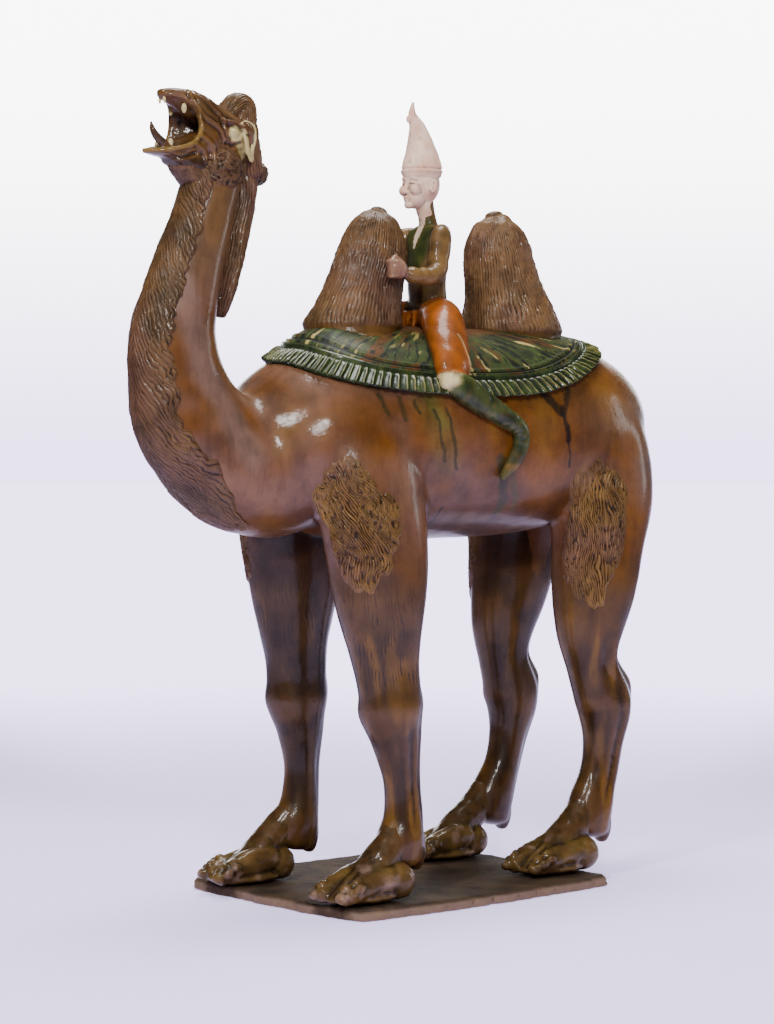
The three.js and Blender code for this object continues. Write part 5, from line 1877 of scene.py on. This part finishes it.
def runs(tree, place, tint):
    """Each run is the distance from a straight line in x and z, made uneven by noise.
    Along the line goes from 0 to 1: the dot product with the line over the line's squared length."""
    shake = add(tree, "TexNoise", {"Vector": place, "Scale": 75.0, "Detail": 3.0}).outputs["Color"]
    shake = vector(tree, "MULTIPLY", vector(tree, "SUBTRACT", shake, (0.5, 0.5, 0.5)), (0.010, 0, 0.012))
    flat = vector(tree, "ADD", vector(tree, "MULTIPLY", place, (1, 0, 1)), shake)
    y = add(tree, "SeparateXYZ", {"Vector": place}).outputs["Y"]
    for top, bottom, width, tone, strength, side in RUNS:
        first, last = (placed([x, 0, z]) for x, z in (top, bottom))
        line = last - first
        from_top = vector(tree, "SUBTRACT", flat, tuple(first))
        along = vector(tree, "DOT_PRODUCT", from_top, tuple(line / (line @ line)), "Value")
        along = maths(tree, "MULTIPLY", along, 1.0, use_clamp=True)
        beside = add(tree, "VectorMath", {0: tuple(line), "Scale": along}, operation="SCALE").outputs[0]
        away = vector(tree, "DISTANCE", from_top, beside, "Value")
        wide = width * MM
        hit = stretch(tree, away, wide * 0.66, wide * 0.22, 0.0, strength)
        own_side = stretch(tree, y, side * 0.040, side * 0.055)
        tint = blend(tree, maths(tree, "MULTIPLY", hit, own_side), tint, ink(tone))
    return blend(tree, waves(tree, place), tint, ink("22140a"))


def waves(tree, place):
    """Short wavy lines combed down the forearms: the sine of a place across, shaken by a stretched noise.
    Masks break the lines up and keep them between two heights and in front of the belly."""
    tall = add(tree, "Mapping", {"Vector": place, "Scale": (1.0, 1.0, 0.30)}).outputs[0]
    across = vector(tree, "DOT_PRODUCT", place, (1250.0, -1000.0, 160.0), "Value")
    waver = maths(tree, "MULTIPLY", cloud(tree, tall, 60, 2, 0.5), 26.0)
    phase = maths(tree, "ADD", across, waver)
    line = stretch(tree, maths(tree, "SINE", phase), 0.45, 0.95)
    broken = stretch(tree, cloud(tree, tall, 120, 1, 0.4), 0.44, 0.56)
    x, _, z = add(tree, "SeparateXYZ", {"Vector": place}).outputs
    over_knee, under_patch = stretch(tree, z, 0.215, 0.245), stretch(tree, z, 0.345, 0.315)
    for mask in (broken, over_knee, under_patch, stretch(tree, x, -0.02, -0.05)):
        line = maths(tree, "MULTIPLY", line, mask)
    return line


# %% [markdown]
# ## Splashed cloth
# The cloth was dabbed with three glazes, and wax kept spots of clay free of them. Noise on the cloth's
# own round coordinates gives dabs that run outwards from its middle, as the real ones do.

# %% Splashed cloth and pleated fringe
def splashes(tree, place, tint):
    """Green, black-green, amber and cream dabs that run outwards, and dark lines along the border."""
    _, share = attribute(tree, "share")
    _, turn = attribute(tree, "turn")
    ahead, sideways = maths(tree, "COSINE", turn), maths(tree, "SINE", turn)
    place = add(tree, "CombineXYZ", {"X": ahead, "Y": sideways, "Z": share}).outputs[0]
    dabs = add(tree, "Mapping", {"Vector": place, "Scale": (10, 10, 3.4)}).outputs[0]
    fine = add(tree, "Mapping", {"Vector": place, "Scale": (22, 22, 6.5), "Location": (3, 1, 2)}).outputs[0]
    green = blend(tree, stretch(tree, cloud(tree, dabs, 1.0, 3, 0.6, 0.3), 0.42, 0.60), tint, ink("34421a"))
    amber = blend(tree, stretch(tree, cloud(tree, dabs, 0.62, 2, 0.5, 0.5), 0.55, 0.64), green, ink("50300e"))
    cream = blend(tree, stretch(tree, cloud(tree, fine, 0.55, 1, 0.5, 0.2), 0.62, 0.69), amber, ink("a89558"))
    dark = blend(tree, stretch(tree, cloud(tree, fine, 0.9, 2, 0.5, 0.8), 0.53, 0.60), cream, ink("0e160a"))
    tint = blend(tree, stretch(tree, share, 0.50, 0.34), dark, ink("4d2d0e"))
    for line in BORDER_LINES:
        away = maths(tree, "ABSOLUTE", maths(tree, "SUBTRACT", share, line + 0.024))
        tint = blend(tree, stretch(tree, away, 0.014, 0.006), tint, ink("0d110a"))
    return blend(tree, stretch(tree, share, 0.955, 0.965, 0.0, 0.7), tint, ink("1b2410"))


def pleats(tree, place, tint):
    """Thick green between the folds and thin straw-coloured glaze on top of them."""
    _, thin = attribute(tree, "thin")
    dark = blend(tree, stretch(tree, cloud(tree, place, 40, 3), 0.40, 0.62), ink("17200e"), ink("2d3a18"))
    olive = blend(tree, stretch(tree, thin, 0.30, 0.75), dark, tint)
    return blend(tree, stretch(tree, thin, 0.72, 1.0, 0.0, 0.8), olive, ink("8b8a55"))


# %% [markdown]
# ## Bare clay, and which piece gets which finish
# Head, hat and slab were left without glaze. Fired clay is matt and shows its grains, so it needs no
# coat, only fine noise in its colour and its bump. Then each piece gets its finish and rides on the body.

# %% Clay material
def clay(name, grain, rough, bump):
    """Bare fired clay: the tint with fine grains, matt, and darker in hollows."""
    material, tree, shader, place = new_material(name)
    tint, _ = attribute(tree, "tint")
    _, groove = attribute(tree, "groove")
    fine = cloud(tree, place, grain, 5, 0.65)
    broad = cloud(tree, place, grain / 9, 4, 0.6)
    tint = dimmed(tree, stretch(tree, broad, 0.35, 0.7, 0.0, 0.6), tint, 0.78)
    tint = dimmed(tree, stretch(tree, fine, 0.5, 0.75, 0.0, 0.35), tint, 0.6)
    # Darker in hollows, by how hollow the surface is.
    tint = blend(tree, stretch(tree, groove, 0.12, 0.9, 0.0, 0.6), tint, ink("4a382b"))
    tree.links.new(tint, shader.inputs["Base Color"])
    tree.links.new(stretch(tree, fine, 0.3, 0.7, rough - 0.08, rough + 0.06), shader.inputs["Roughness"])
    bumped = add(tree, "Bump", {"Height": fine, "Strength": bump, "Distance": 0.0012})
    tree.links.new(bumped.outputs[0], shader.inputs["Normal"])
    settle(shader, Specular_IOR_Level=0.15)
    return material


# %% Give each piece its finish and its place in the frame
body_glaze = glaze("body_glaze", "1c0d05", "4a3018", 0.7, 0.4, 0.26, cover=runs)
amber_glaze = glaze("amber_glaze", "1c0d05", "4a3018", 0.7, 0.4, 0.32)
hair_glaze = glaze("hair_glaze", "120904", "7a5a30", 0.95, 0.5, 0.16, (0.40, 0.55), 0.3)
cloth_glaze = glaze("cloth_glaze", "0f140a", "6f6a3c", 0.6, 0.3, 0.03, (0.5, 0.65), cover=splashes)
fringe_glaze = glaze("fringe_glaze", "0f140a", "6f6a3c", 0.6, 0.3, 0.3, cover=pleats)
rider_glaze = glaze("rider_glaze", "2a160a", "5f4222", 0.6, 0.3, 0.24)
pale_clay = clay("pale_clay", 900, 0.82, 0.25)
bare_clay = clay("bare_clay", 420, 0.86, 0.6)

FINISHES = [
    ([body], body_glaze, "amber_glaze"),
    ([head, teeth, feet], amber_glaze, "amber_glaze"),
    ([front_hump, rear_hump, *HAIR], hair_glaze, "hair_glaze"),
    ([cloth_piece], cloth_glaze, "cloth_glaze"),
    ([fringe_piece], fringe_glaze, "cloth_glaze"),
    ([rider], rider_glaze, "rider_glaze"),
    ([face, hat], pale_clay, "pale_clay"),
    ([slab_piece], bare_clay, "bare_clay"),
]
TRIANGLE_LIMIT = 200000
total = 0
for pieces, material, slot in FINISHES:
    for piece in pieces:
        piece.data.materials.clear()
        piece.data.materials.append(material)
        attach(piece, "root")
        piece.data.calc_loop_triangles()
        triangles = len(piece.data.loop_triangles)
        assert triangles < TRIANGLE_LIMIT, piece.name
        total += triangles
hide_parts("camel")
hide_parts("rider")
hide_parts("base_slab")
print("triangles in all:", total)

# %% [markdown]
# ## Floor and light
# A studio table with no edge: far from the figure the floor turns into the same light as the wall. The
# wall behind the figure is lit paper, and the room in front is dim, so the glaze keeps its deep colour.
# Small lamps give the glaze its sharp white glints, and a large one above softens the shadows.

# %% World
BEHIND = (0.62, 0.78, 0.0)
WALL_DIM, WALL_BRIGHT = 0.25, 5.2


def wall(tree, direction):
    """The wall's brightness in a direction: bright where it points away behind the figure."""
    ahead = vector(tree, "DOT_PRODUCT", direction, BEHIND, "Value")
    return stretch(tree, ahead, 0.80, 0.955, WALL_DIM, WALL_BRIGHT)


world = bpy.data.worlds.new("studio")
bpy.context.scene.world = world
world.use_nodes = True
tree = world.node_tree
tree.nodes.clear()
direction = add(tree, "TexCoord").outputs["Generated"]
height = add(tree, "SeparateXYZ", {"Vector": direction}).outputs["Z"]
sky = blend(tree, stretch(tree, height, -0.02, 0.14), ink("cfc3f2"), ink("fdfdff"))
higher = stretch(tree, height, 0.0, 0.18, 1.0, 1.7)
ceiling = stretch(tree, height, 0.20, 0.32, 1.0, 0.15)
strength = maths(tree, "MULTIPLY", maths(tree, "MULTIPLY", wall(tree, direction), higher), ceiling)
background = add(tree, "Background", {"Color": sky, "Strength": strength})
tree.links.new(background.outputs[0], add(tree, "OutputWorld").inputs["Surface"])

# %% Floor
FLOOR_GLOW, FLOOR_LAVENDER = 1.05, "d5caf4"
# The floor lies half a millimetre below the slab, so that the two don't flicker through each other.
FLOOR_Z = -0.0005
radii, turn = np.meshgrid([0.5, 1, 2, 4, 8, 16, 40], circle(96), indexing="ij")
grid = np.stack([radii * np.cos(turn), radii * np.sin(turn), np.full(turn.shape, FLOOR_Z)], -1)
floor = put("floor", *shell(grid, [0, 0, FLOOR_Z], [0, 0, -0.5]))
material, tree, shader, place = new_material("studio_floor")
reach = add(tree, "VectorMath", {0: place}, operation="LENGTH").outputs["Value"]
away_from_it = add(tree, "VectorMath", {0: place}, operation="NORMALIZE").outputs["Vector"]
far = stretch(tree, reach, 0.6, 2.6)
near_light = maths(tree, "MULTIPLY", maths(tree, "SUBTRACT", 1.0, far), FLOOR_GLOW)
far_light = maths(tree, "MULTIPLY", far, wall(tree, away_from_it))
tree.links.new(blend(tree, far, ink(FLOOR_LAVENDER), grey(0.0)), shader.inputs["Base Color"])
tree.links.new(maths(tree, "ADD", near_light, far_light), shader.inputs["Emission Strength"])
settle(shader, Emission_Color=ink(FLOOR_LAVENDER), Roughness=0.6, Specular_IOR_Level=0.0)
floor.data.materials.append(material)


# %% Lights
LIT_MIDDLE = np.array([0, 0, 0.45])


def soft_light(name, turn, rise, distance, size, watts):
    """A rectangular lamp in a direction from the figure's middle, given in degrees, and turned to it."""
    lamp = bpy.data.lights.new(name, "AREA")
    lamp.shape = "RECTANGLE"
    lamp.size, lamp.size_y = size
    lamp.energy = watts
    turn, rise = math.radians(turn), math.radians(rise)
    away = np.array([math.cos(rise) * math.cos(turn), math.cos(rise) * math.sin(turn), math.sin(rise)])
    obj = bpy.data.objects.new(name, lamp)
    obj.location = LIT_MIDDLE + away * distance
    obj.rotation_euler = mathutils.Vector(-away).to_track_quat("-Z", "Y").to_euler()
    bpy.context.scene.collection.objects.link(obj)


soft_light("key", -121, 26, 2.3, (0.30, 0.30), 36)
soft_light("window", -154, 42, 2.3, (0.18, 0.5), 34)
soft_light("side", -17, 12, 2.4, (0.25, 0.9), 6)
soft_light("top", 40, 80, 2.5, (1.2, 1.2), 95)
